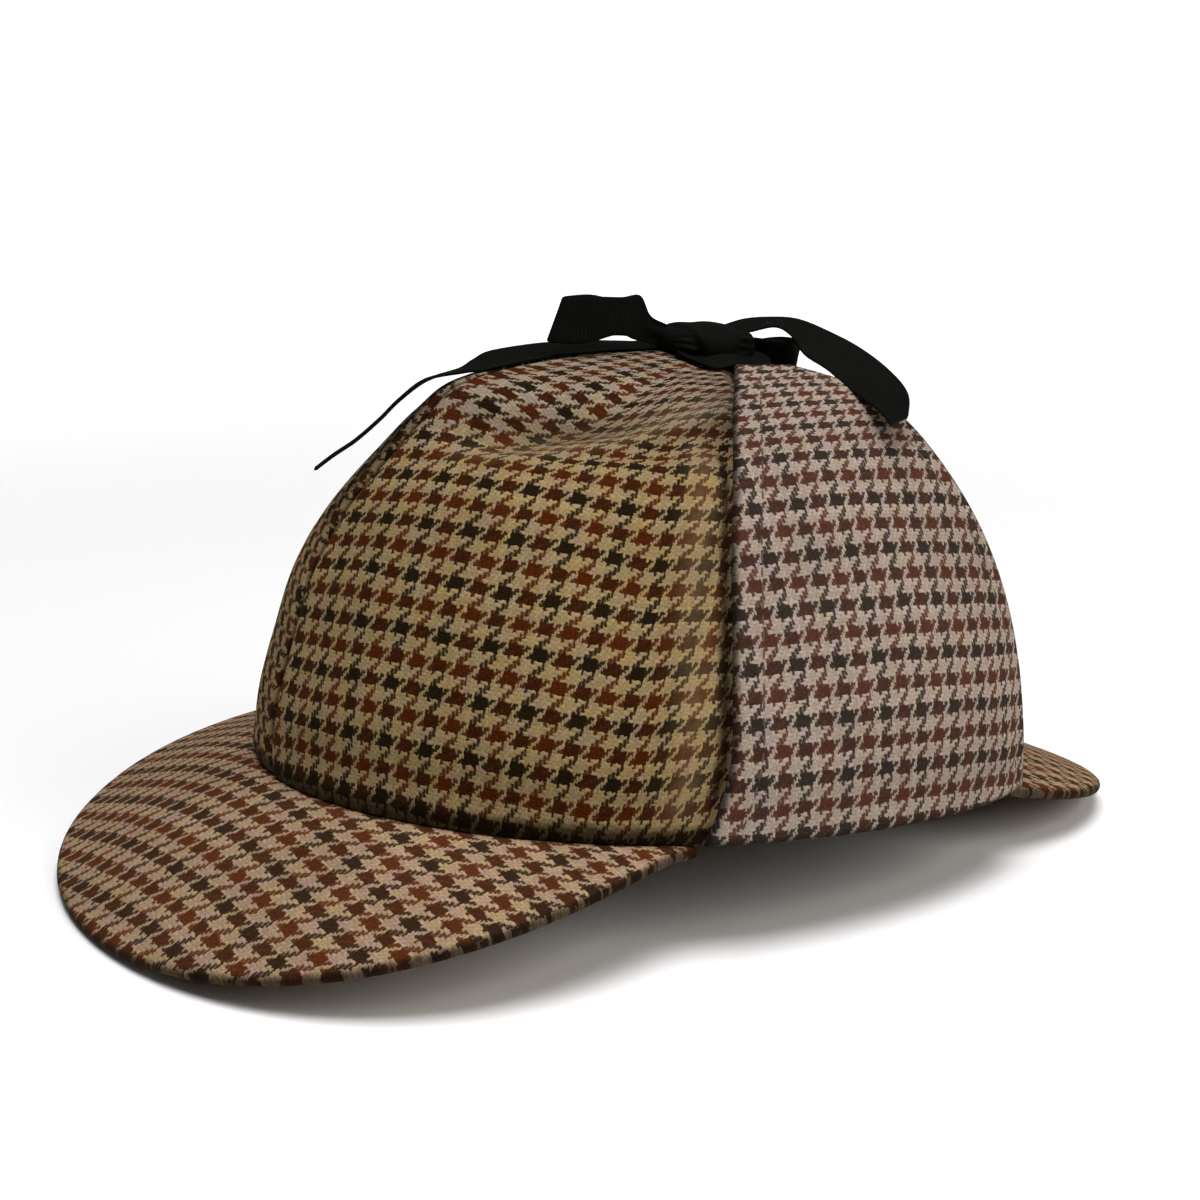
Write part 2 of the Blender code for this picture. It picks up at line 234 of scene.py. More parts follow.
def lay_flat(points: Grid, start: Grid | None = None, rounds: int = 900) -> Grid:
    """Lays a curved sheet flat with as little stretch as it can, as a cutter drafts a panel.

    Args:
        points: A grid of points of the sheet, in millimetres.
        start: A first guess at the flat grid, where rolling the sheet out row by row is a poor one.
        rounds: How often every thread length is corrected.

    Returns:
        The same grid on the cutting table, in millimetres, with its middle column upright.
    """
    rows, columns = points.shape[:2]
    across = np.linalg.norm(np.diff(points, axis=1), axis=-1)
    upward = np.linalg.norm(np.diff(points, axis=0), axis=-1)
    middle = columns // 2
    x = np.concatenate([np.zeros((rows, 1)), np.cumsum(across, axis=1)], axis=1)
    y = np.concatenate([np.zeros((1, columns)), np.cumsum(upward, axis=0)], axis=0)
    level = np.repeat(y[:, middle : middle + 1], columns, axis=1)
    rolled = np.stack([x - x[:, middle : middle + 1], level], axis=-1)
    flat = rolled if start is None else start
    pairs = []
    for row_step, column_step in ((0, 1), (1, 0), (1, 1), (1, -1)):
        for phase in (0, 1):
            r, c = np.meshgrid(np.arange(rows), np.arange(columns), indexing="ij")
            chosen = ((c if row_step == 0 else r) % 2 == phase) & (r + row_step < rows)
            chosen &= (c + column_step < columns) & (c + column_step >= 0)
            a = (r * columns + c)[chosen]
            b = ((r + row_step) * columns + c + column_step)[chosen]
            pairs.append((a, b))
    solid, table = points.reshape(-1, 3), flat.reshape(-1, 2).copy()
    lengths = [np.linalg.norm(solid[a] - solid[b], axis=1) for a, b in pairs]
    for _ in range(rounds):
        for (a, b), length in zip(pairs, lengths, strict=True):
            gap = table[b] - table[a]
            size = np.maximum(np.linalg.norm(gap, axis=1), 1e-6)
            push = gap * (0.5 * (size - length) / size)[:, None]
            table[a] += push
            table[b] -= push
    flat = table.reshape(rows, columns, 2)
    spine = flat[rows * 3 // 4, middle] - flat[0, middle]
    turn = atan2(spine[0], spine[1])
    spun = np.array([[cos(turn), sin(turn)], [-sin(turn), cos(turn)]])
    return (flat - flat[0, middle]) @ spun


def between(coarse: Grid, us: np.ndarray, vs: np.ndarray) -> Grid:
    """Reads a coarse even grid at finer places.

    Args:
        coarse: Values on an even grid, rows along v and columns along u.
        us: The wanted places along u, from 0 to 1.
        vs: The wanted places along v, from 0 to 1.

    Returns:
        The values at every crossing of vs and us.
    """
    rows, columns, size = coarse.shape
    table = coarse.reshape(rows, columns * size)
    upright = read_table(table, vs * (rows - 1)).reshape(len(vs), columns, size)
    sideways = upright.transpose(1, 0, 2).reshape(columns, len(vs) * size)
    return read_table(sideways, us * (columns - 1)).reshape(len(us), len(vs), size).transpose(1, 0, 2)


def graded(count: int, length: float, roll: float) -> np.ndarray:
    """Places from 0 to 1 that crowd together inside the rolled borders.

    Args:
        count: How many even steps lie between the borders.
        length: The sheet's length in millimetres.
        roll: The width of a border in millimetres.

    Returns:
        The places, with three more at each end.
    """
    border = roll / length * np.array([0.0, 0.1, 0.4])
    middle = np.linspace(roll / length, 1.0 - roll / length, count + 1)
    return np.concatenate([border, middle, 1.0 - border[::-1]])


# --- the hat's form --------------------------------------------------------------------------


@dataclass(frozen=True)
class Stance:
    """How the hat stands on its two brims.

    Attributes:
        pitch_deg: How far its front is raised.
        height_mm: The middle of the crown's edge above the ground.
        shift_mm: That middle's place along Y.
    """

    pitch_deg: float = 3.8
    height_mm: float = 24.1
    shift_mm: float = 7.8

    def place(self, points: Grid) -> Grid:
        """Moves points to where the standing hat has them.

        Args:
            points: Points in the hat's own millimetres.

        Returns:
            The points in the frame's metres.
        """
        c, s = cos(radians(self.pitch_deg)), sin(radians(self.pitch_deg))
        x, y, z = points[..., 0], points[..., 1], points[..., 2]
        return np.stack([x, y * c + z * s + self.shift_mm, z * c - y * s + self.height_mm], axis=-1) * MM


@dataclass(frozen=True)
class CrownForm:
    """The crown's outer face.

    Attributes:
        levels: Height, front reach, side reach, rear reach and middle, one row a level.
        flatness: The share of the side's reach that the flaps press in.
        flat_deg: Where along the side they press, and how far round.
        dent: Angle, level, depth and half width of the long dent, one row for each point of its valley.
    """

    levels: tuple[tuple[float, ...], ...] = (
        (0.0, 103.0, 85.5, 99.5, 0.0),
        (16.0, 102.0, 84.8, 97.0, 0.4),
        (31.5, 98.7, 81.2, 93.5, 1.2),
        (47.5, 94.5, 74.0, 89.3, 2.2),
        (63.0, 86.5, 64.3, 83.5, 3.3),
        (75.5, 76.5, 56.0, 74.5, 4.4),
        (86.0, 67.3, 47.0, 63.5, 5.3),
        (94.5, 57.0, 35.5, 50.0, 6.1),
        (100.5, 31.0, 18.0, 27.0, 6.7),
        (103.0, -7.0, 0.0, 7.0, 7.0),
    )
    flatness: float = 0.04
    flat_deg: tuple[float, float] = (105.0, 28.0)
    dent: tuple[tuple[float, ...], ...] = (
        (8.0, 5.60, 0.0, 9.0),
        (22.0, 5.90, 4.5, 9.5),
        (45.0, 6.15, 8.5, 10.5),
        (68.0, 6.40, 9.0, 10.5),
        (88.0, 6.60, 6.0, 10.0),
        (104.0, 6.70, 0.0, 9.0),
    )

    @property
    def top(self) -> float:
        """The highest level's number."""
        return len(self.levels) - 1.0

    def level_of(self, height: float) -> float:
        """The level number of a height in millimetres."""
        return float(np.interp(height, [row[0] for row in self.levels], np.arange(len(self.levels))))

    def sizes(self, level: Grid) -> Grid:
        """Reads the crown's sizes.

        Args:
            level: Level numbers with fractions.

        Returns:
            Height, front, side and rear reach and middle, as the last axis.
        """
        rows = np.array(self.levels)
        guard = 2 * rows[-1] - rows[-2]
        guard[0] = rows[-2][0]
        return read_table(rows, level, guard)

    def face(self, angle: Grid, level: Grid) -> Grid:
        """Points of the crown before it is dented.

        Args:
            angle: Angles from the front towards the wearer's left, in radians.
            level: Level numbers with fractions.

        Returns:
            The points, in millimetres.
        """
        angle, level = np.broadcast_arrays(np.asarray(angle, float), np.asarray(level, float))
        height, front, side, rear, middle = np.moveaxis(self.sizes(level), -1, 0)
        centre, width = (radians(a) for a in self.flat_deg)
        side = side * (1.0 - self.flatness * hump(np.abs(angle) - centre, width))
        reach = np.where(np.cos(angle) > 0.0, front + middle, rear - middle)
        return np.stack([side * np.sin(angle), middle - reach * np.cos(angle), height], axis=-1)

    def outward(self, angle: Grid, level: Grid) -> Grid:
        """Finds the direction out of the crown's face.

        Args:
            angle: Angles from the front towards the wearer's left, in radians.
            level: Level numbers with fractions.

        Returns:
            Unit vectors.
        """
        step = 0.02
        along = self.face(angle + step, level) - self.face(angle - step, level)
        up = self.face(angle, np.minimum(level + step, self.top)) - self.face(angle, level - step)
        found = np.cross(along, up)
        return found / np.maximum(np.linalg.norm(found, axis=-1, keepdims=True), 1e-9)

    def dent_depth(self, points: Grid) -> Grid:
        """Finds how far the long dent pushes the face inwards.

        Args:
            points: Points of the face before it is dented, in millimetres.

        Returns:
            Depths in millimetres.
        """
        rows = np.array(self.dent)
        valley = np.vstack([a + (b - a) * np.linspace(0.0, 1.0, 25)[:, None] for a, b in zip(rows, rows[1:])])
        line = self.face(np.radians(valley[:, 0]), valley[:, 1])
        depth = np.zeros(points.shape[:-1])
        for spot, (_, _, deep, width) in zip(line, valley, strict=True):
            away = np.linalg.norm(points - spot, axis=-1)
            depth = np.maximum(depth, deep * hump(away, width))
        return depth

    def height_at(self, x: Grid, y: Grid) -> Grid:
        """Finds how high the crown's face is over points of the plan.

        Args:
            x: Places towards the wearer's left, in millimetres.
            y: Places towards the rear, in millimetres.

        Returns:
            The heights, and 0 outside the crown.
        """
        low, high = np.zeros_like(x), np.full_like(x, self.top)
        for _ in range(24):
            level = 0.5 * (low + high)
            _, front, side, rear, middle = np.moveaxis(self.sizes(level), -1, 0)
            reach = np.where(y < middle, front + middle, rear - middle)
            wide, long = x / np.maximum(side, 1e-6), (y - middle) / np.maximum(reach, 1e-6)
            outside = wide * wide + long * long > 1.0
            low, high = np.where(outside, low, level), np.where(outside, level, high)
        return self.sizes(low)[..., 0]

    def seam_angle(self, level: Grid, seam_y: float) -> Grid:
        """The angle at which the side seam's upright plane crosses a level."""
        _, _, _, rear, middle = np.moveaxis(self.sizes(level), -1, 0)
        return np.arccos(np.clip((middle - seam_y) / np.maximum(rear - middle, 1e-6), -1.0, 1.0))


STANCE = Stance()
CROWN = CrownForm()


# --- materials -------------------------------------------------------------------------------


class Finish:
    """A material in the making."""

    def __init__(self, name: str) -> None:
        """Starts a material of that name, with its Principled shader."""
        self.material = bpy.data.materials.new(name)
        self.material.use_nodes = True

    def add(self, kind: str, inputs: dict | None = None, output: int | str = 0, **settings: object) -> Socket:
        """Adds a node with its settings, values and links.

        Args:
            kind: The node's type name.
            inputs: A value or an output socket for each named or numbered input.
            output: The output that is wanted, by its number or name.
            **settings: The node's own properties.

        Returns:
            That output.
        """
        made = self.material.node_tree.nodes.new(kind)
        for key, value in settings.items():
            setattr(made, key, value)
        self.feed(made, inputs or {})
        return made.outputs[output]

    def feed(self, node: bpy.types.Node, inputs: dict) -> None:
        """Gives a node's inputs their values and links.

        Args:
            node: The node.
            inputs: A value or an output socket for each named or numbered input.
        """
        for key, value in inputs.items():
            if isinstance(value, Socket):
                self.material.node_tree.links.new(value, node.inputs[key])
            else:
                node.inputs[key].default_value = value

    def shade(self, inputs: dict) -> bpy.types.Material:
        """Feeds the Principled shader and gives the finished material back."""
        self.feed(self.material.node_tree.nodes["Principled BSDF"], inputs)
        return self.material


@dataclass(frozen=True)
class HoundstoothTweed:
    """Gun club check: woollen 2/2 twill in four dark and four light threads each way.

    The light yarn is a heathered sand. The dark stripes are black and rust by turns, warp and weft
    alike, so the checks come out black, rust or a mixture, and the twill draws their teeth out along
    one diagonal. The weft is the fuller yarn, so rows of black and rows of rust stand out. Wool
    scatters light, so the cloth has no gloss and a soft bloom at its edges. The threads lie 0.7 to
    0.8 mm apart, as in the real cloth.

    Attributes:
        repeat_mm: One tooth and the ground beside it, along the weft and along the warp.
        stripe_threads: Threads in a dark or a light stripe.
        sand: The light yarn.
        rose: The pinker fibres spun into it.
        black: The blacker dark yarn.
        rust: The browner dark yarn.
        edge_shade: The painted shade that darkens the folded edges and creases.
        roll_highlight_colour: The painted highlight on the rolls.
        bloom: The colour of light in the fibres that stand off the cloth.
        relief_mm: How high a thread stands over the gaps.
        wander_mm: How far a thread strays from straight.
        fuzz_mm: How ragged a thread's edge is.
        heather_mm: The size of the drifts of the two light shades.
        show_through: How much of a dark thread shows between the fibres of the dark one above it.
        thread_tones: The darkest and the lightest single thread.
        dark_share: How much of the repeat the dark stripes take, of the warp and of the weft.
        warp_face: How much of its own width a warp thread shows; the fuller weft crowds in beside it.
        edge_shade_mm: How far from a crease the painted shade is fullest, and how far it reaches.
        below_top_tint: The warmer tint of the cloth below the crown's top, painted light that leaves the top
            paler and cooler.
        top_light_mm: The heights between which the painted light on the crown's top sets in.
    """

    repeat_mm: tuple[float, float] = (5.7, 6.3)
    stripe_threads: int = 4
    sand: str = "#918062"
    rose: str = "#8b7d74"
    black: str = "#1b1309"
    rust: str = "#421c07"
    edge_shade: str = "#120c07"
    roll_highlight_colour: str = "#a59382"
    bloom: str = "#d8b98a"
    relief_mm: float = 0.24
    wander_mm: float = 0.4
    fuzz_mm: float = 0.32
    heather_mm: float = 5.0
    show_through: float = 0.34
    thread_tones: tuple[float, float] = (0.84, 1.12)
    dark_share: tuple[float, float] = (0.59, 0.46)
    warp_face: float = 0.9
    edge_shade_mm: tuple[float, float] = (0.1, 2.1)
    below_top_tint: str = "#fff6cf"
    top_light_mm: tuple[float, float] = (102.0, 122.0)

    def build(self, name: str) -> bpy.types.Material:
        """Makes the cloth's material.

        Args:
            name: The material's name.

        Returns:
            The material, which reads the flat cut's UV map.
        """
        finish = Finish(name)
        add = finish.add
        cut = add("ShaderNodeUVMap", output="UV", uv_map=FLAT_CUT)
        threads = self.place_threads(add, cut)
        warp, weft = (
            self.widen_dark(add, add("ShaderNodeSeparateXYZ", {0: threads}, axis), share)
            for axis, share in zip("XY", self.dark_share, strict=True)
        )
        over, along_warp, along_weft = self.interlace(add, warp, weft)
        ground = self.ground(add, cut)
        warp_colour, dark_warp = self.yarn(add, warp, ground, 3.7)
        weft_colour, dark_weft = self.yarn(add, weft, ground, 91.3)
        both = add(MATH, {0: dark_warp, 1: dark_weft}, operation="MULTIPLY")
        share = add(RANGE, {"Value": both, "To Min": 0.04, "To Max": self.show_through})
        top = add(MIX, {"Factor": over, 6: weft_colour, 7: warp_colour}, **COLOURS)
        under = add(MIX, {"Factor": over, 6: warp_colour, 7: weft_colour}, **COLOURS)
        mingled = add(MIX, {"Factor": share, 6: top, 7: under}, **COLOURS)
        height = self.height(add, warp, weft, over, along_warp, along_weft)
        # Painted shade in the gaps between threads, with a slight painted highlight on the floats
        gaps = {"Value": height, "From Min": 0.0, "From Max": 0.8, "To Min": 0.66, "To Max": 1.05}
        shaded = add(MIX, {"Factor": 1.0, 6: mingled, 7: add(RANGE, gaps)}, **TINTED)
        relief = {"Strength": 0.6, "Distance": self.relief_mm * MM, "Height": height}
        return finish.shade({
            "Base Color": self.paint_light_and_drift(add, shaded, cut),
            "Normal": add("ShaderNodeBump", relief),
            "Roughness": add(RANGE, {"Value": height, "To Min": 0.98, "To Max": 0.86}),
            "Specular IOR Level": 0.03,
            "Sheen Weight": 0.02,
            "Sheen Roughness": 0.6,
            "Sheen Tint": linear(self.bloom),
        })

    def place_threads(self, add: Adder, cut: Socket) -> Socket:
        """Turns the flat cut's metres into thread numbers that stray a little.

        Args:
            add: Puts a node in the material.
            cut: The flat cut's coordinates.

        Returns:
            The warp's and the weft's thread numbers as x and y.
        """
        bent = cut
        for every_mm, amount_mm in ((16.0, self.wander_mm), (0.7, self.fuzz_mm)):
            blur = add(NOISE, {"Vector": cut, "Scale": 1.0 / (every_mm * MM), "Detail": 2.0}, "Color")
            centred = add(VECTORS, {0: blur, 1: (0.5, 0.5, 0.5)}, operation="SUBTRACT")
            scaled = add(VECTORS, {0: centred, "Scale": 4.0 * amount_mm * MM}, operation="SCALE")
            bent = add(VECTORS, {0: bent, 1: scaled}, operation="ADD")
        scale = [2.0 * self.stripe_threads / (size * MM) for size in self.repeat_mm]
        return add("ShaderNodeMapping", {"Vector": bent, "Scale": (*scale, 1.0)})

    def widen_dark(self, add: Adder, number: Socket, share: float) -> Socket:
        """Spreads or closes up the dark stripes of one direction.

        Args:
            add: Puts a node in the material.
            number: Thread numbers of that direction.
            share: How much of the repeat the dark stripe takes.

        Returns:
            The thread numbers as they then lie.
        """
        turn = add(MATH, {0: number, 1: pi / self.stripe_threads}, operation="MULTIPLY")
        wave = add(MATH, {0: turn}, operation="COSINE")
        dip = add(MATH, {0: wave, 1: 1.0}, operation="SUBTRACT")
        reach = self.stripe_threads * (share - 0.5)
        return add(MATH, {0: dip, 1: reach, 2: number}, operation="MULTIPLY_ADD")

    def interlace(self, add: Adder, warp: Socket, weft: Socket) -> tuple[Socket, Socket, Socket]:
        """Works out the 2/2 twill.

        Args:
            add: Puts a node in the material.
            warp: Warp thread numbers.
            weft: Weft thread numbers.

        Returns:
            Where the warp is on top, and how far along its float a warp and a weft thread is.
        """
        warp_number, weft_number = (add(MATH, {0: number}, operation="FLOOR") for number in (warp, weft))
        in_warp, in_weft = (add(MATH, {0: number}, operation="FRACT") for number in (warp, weft))
        apart = add(MATH, {0: warp_number, 1: weft_number}, operation="SUBTRACT")
        phase = add(MATH, {0: apart, 1: 4.0}, operation="FLOORED_MODULO")
        floats = add(MATH, {0: phase, 1: 1.5}, operation="LESS_THAN")
        off_middle = add(MATH, {0: in_warp, 1: 0.5}, operation="SUBTRACT")
        away = add(MATH, {0: off_middle}, operation="ABSOLUTE")
        covered = add(MATH, {0: away, 1: self.warp_face / 2}, operation="LESS_THAN")
        over = add(MATH, {0: floats, 1: covered}, operation="MULTIPLY")
        warp_steps = add(MATH, {0: 1.0, 1: phase}, operation="SUBTRACT")
        weft_steps = add(MATH, {0: phase, 1: 2.0}, operation="SUBTRACT")
        alongs = []
        for steps, part in ((warp_steps, in_weft), (weft_steps, in_warp)):
            whole = add(MATH, {0: steps, 1: part}, operation="ADD")
            alongs.append(add(MATH, {0: whole, 1: 0.5}, operation="MULTIPLY"))
        return over, *alongs

    def ground(self, add: Adder, cut: Socket) -> Socket:
        """Mixes the light yarn's two shades in drifts of a few millimetres.

        Args:
            add: Puts a node in the material.
            cut: The flat cut's coordinates.

        Returns:
            The light yarn's colour.
        """
        scale = 1.0 / (self.heather_mm * MM)
        drift = add(NOISE, {"Vector": cut, "Scale": scale, "Detail": 3.0, "Roughness": 0.65})
        share = add(RANGE, {"Value": drift, "From Min": 0.36, "From Max": 0.64})
        return add(MIX, {"Factor": share, 6: linear(self.sand), 7: linear(self.rose)}, **COLOURS)

    def yarn(self, add: Adder, number: Socket, ground: Socket, seed: float) -> tuple[Socket, Socket]:
        """Colours the threads of one direction in light, black and rust stripes.

        Args:
            add: Puts a node in the material.
            number: Thread numbers of that direction.
            ground: The light yarn's colour.
            seed: A shift that makes the two directions differ.

        Returns:
            The thread's colour, and 1 where it is a dark one.
        """
        stripe = 2.0 * self.stripe_threads
        once = add(MATH, {0: number, 1: stripe}, operation="FLOORED_MODULO")
        dark = add(MATH, {0: once, 1: stripe / 2}, operation="LESS_THAN")
        twice = add(MATH, {0: number, 1: 2 * stripe}, operation="FLOORED_MODULO")
        blackish = add(MATH, {0: twice, 1: stripe}, operation="LESS_THAN")
        deep = add(MIX, {"Factor": blackish, 6: linear(self.rust), 7: linear(self.black)}, **COLOURS)
        colour = add(MIX, {"Factor": dark, 6: ground, 7: deep}, **COLOURS)
        whole = add(MATH, {0: number}, operation="FLOOR")
        shifted = add(MATH, {0: whole, 1: seed}, operation="ADD")
        chance = add("ShaderNodeTexWhiteNoise", {"W": shifted}, noise_dimensions="1D")
        darkest, lightest = self.thread_tones
        tone = add(RANGE, {"Value": chance, "To Min": darkest, "To Max": lightest})
        return add(MIX, {"Factor": 1.0, 6: colour, 7: tone}, **TINTED), dark

    def height(
        self, add: Adder, warp: Socket, weft: Socket, over: Socket, along_warp: Socket, along_weft: Socket
    ) -> Socket:
        """Rounds each thread across itself and arches it along its float.

        Args:
            add: Puts a node in the material.
            warp: Warp thread numbers.
            weft: Weft thread numbers.
            over: Where the warp is on top.
            along_warp: How far along its float the warp is.
            along_weft: How far along its float the weft is.

        Returns:
            The relief, from 0 in the gaps to 1 on a float.
        """
        reliefs = []
        for number, along in ((warp, along_warp), (weft, along_weft)):
            waves = []
            for source in (number, along):
                part = add(MATH, {0: source}, operation="FRACT")
                turned = add(MATH, {0: part, 1: pi}, operation="MULTIPLY")
                wave = add(MATH, {0: turned}, operation="SINE")
                waves.append(add(MATH, {0: wave, 1: 0.6}, operation="POWER"))
            reliefs.append(add(MATH, {0: waves[0], 1: waves[1]}, operation="MULTIPLY"))
        return add(MIX, {"Factor": over, 2: reliefs[1], 3: reliefs[0]})

    def paint_light_and_drift(self, add: Adder, colour: Socket, cut: Socket) -> Socket:
        """Adds painted shade on rims and creases, painted highlight on the rolls, painted light on the
        crown's top, and a drift of tone.

        Args:
            add: Puts a node in the material.
            colour: The woven colour.
            cut: The flat cut's coordinates.

        Returns:
            The colour with its painted shade, painted highlight, painted top light and drift.
        """
        # Painted shade: the cloth darkens towards its rims and creases, where shade falls
        rim = add("ShaderNodeAttribute", output="Fac", attribute_name=CREASE)
        roll_highlight = add("ShaderNodeAttribute", output="Fac", attribute_name=ROLL_HIGHLIGHT)
        patch = add(NOISE, {"Vector": cut, "Scale": 1.0 / (3.0 * MM), "Detail": 3.0})
        ragged = add(RANGE, {"Value": patch, "To Min": -0.9, "To Max": 0.9})
        reach = add(MATH, {0: rim, 1: ragged}, operation="ADD")
        near, far = self.edge_shade_mm
        ramp = {"Value": reach, "From Min": near, "From Max": far, "To Min": 0.82, "To Max": 0.0}
        crease_shade = add(MIX, {"Factor": add(RANGE, ramp, **SMOOTH), 6: colour, 7: linear(self.edge_shade)}, **COLOURS)
        # Painted highlight on the rolls, which stand out towards the light
        roll_highlight_share = add(MATH, {0: roll_highlight, 1: patch}, operation="MULTIPLY")
        with_roll_highlight = add(MIX, {"Factor": roll_highlight_share, 6: crease_shade, 7: linear(self.roll_highlight_colour)}, **COLOURS)
        # Painted light from above: the cloth below the crown's top is tinted warmer, so the top reads paler
        # and cooler
        place = add("ShaderNodeTexCoord", output="Object")
        height = add("ShaderNodeSeparateXYZ", {0: place}, "Z")
        low, high = (level * MM for level in self.top_light_mm)
        ramp = {"Value": height, "From Min": low, "From Max": high, "To Min": 1.0, "To Max": 0.0}
        below_top_share = add(RANGE, ramp, **SMOOTH)
        with_top_light = add(MIX, {"Factor": below_top_share, 6: with_roll_highlight, 7: linear(self.below_top_tint)}, **TINTED)
        slow = add(NOISE, {"Vector": cut, "Scale": 1.0 / (38.0 * MM), "Detail": 2.0})
        ramp = {"Value": slow, "From Min": 0.3, "From Max": 0.7, "To Min": 0.93, "To Max": 1.05}
        return add(MIX, {"Factor": 1.0, 6: with_top_light, 7: add(RANGE, ramp)}, **TINTED)


@dataclass(frozen=True)
class GrosgrainRibbon:
    """Black ribbed ribbon: a fine warp over thick weft, which gives close ribs across its width.

    Real ribs are about 0.6 mm apart. That is too fine to show, so they are drawn at 0.9 mm.

    Attributes:
        rib_mm: From one rib to the next.
        dye: The ribbon's colour.
        rib_highlight: The painted highlight where the ribs catch light.
        relief_mm: How high a rib stands.
    """

    rib_mm: float = 0.9
    dye: str = "#060706"
    rib_highlight: str = "#14160f"
    relief_mm: float = 0.12

    def build(self, name: str) -> bpy.types.Material:
        """Makes the ribbon's material.

        Args:
            name: The material's name.

        Returns:
            The material, which reads the flat cut's UV map.
        """
        finish = Finish(name)
        add = finish.add
        cut = add("ShaderNodeUVMap", output="UV", uv_map=FLAT_CUT)
        along = add("ShaderNodeSeparateXYZ", {0: cut}, "X")
        ribs = add(MATH, {0: along, 1: 2 * pi / (self.rib_mm * MM)}, operation="MULTIPLY")
        wave = add(MATH, {0: ribs}, operation="SINE")
        rib = add(RANGE, {"Value": wave, "From Min": -1.0})
        fine = add(NOISE, {"Vector": cut, "Scale": 1.0 / (0.5 * MM), "Detail": 3.0})
        relief = add(MIX, {"Factor": 0.25, 2: rib, 3: fine})
        patch = add(NOISE, {"Vector": cut, "Scale": 1.0 / (9.0 * MM), "Detail": 2.0})
        share = add(MATH, {0: relief, 1: patch}, operation="MULTIPLY")
        # Painted highlight on the ribs' crests, in patches
        dye_and_highlight = {"Factor": share, 6: linear(self.dye), 7: linear(self.rib_highlight)}
        bump = {"Strength": 0.6, "Distance": self.relief_mm * MM, "Height": relief}
        return finish.shade({
            "Base Color": add(MIX, dye_and_highlight, **COLOURS),
            "Roughness": add(RANGE, {"Value": patch, "To Min": 0.6, "To Max": 0.8}),
            "Normal": add("ShaderNodeBump", bump),
            "Specular IOR Level": 0.03,
        })


@dataclass(frozen=True)
class SewingThread:
    """Twisted cotton sewing thread, matt, in a brown that sinks into the check.

    Attributes:
        dye: Its colour.
    """

    dye: str = "#4a3b28"

    def build(self, name: str) -> bpy.types.Material:
        """Makes the thread's material, mottled as its twist catches light.

        Args:
            name: The material's name.

        Returns:
            The material, which reads Object coordinates.
        """
        finish = Finish(name)
        add = finish.add
        place = add("ShaderNodeTexCoord", output="Object")
        twist = add(NOISE, {"Vector": place, "Scale": 1.0 / (0.4 * MM), "Detail": 1.0})
        tone = add(RANGE, {"Value": twist, "To Min": 0.7, "To Max": 1.25})
        colour = add(MIX, {"Factor": 1.0, 6: linear(self.dye), 7: tone}, **TINTED)
        return finish.shade({"Base Color": colour, "Roughness": 0.8})


# --- cloth pieces ----------------------------------------------------------------------------


def put_in_scene(body: bmesh.types.BMesh, name: str, material: bpy.types.Material) -> bpy.types.Object:
    """Turns a finished bmesh into a smooth-shaded object of the scene.

    Args:
        body: The mesh under construction, which is freed.
        name: The object's name.
        material: Its finish.

    Returns:
        The object, at the origin.
    """
    mesh = bpy.data.meshes.new(name)
    body.to_mesh(mesh)
    body.free()
    mesh.shade_smooth()
    mesh.materials.append(material)
    made = bpy.data.objects.new(name, mesh)
    bpy.context.scene.collection.objects.link(made)
    return made


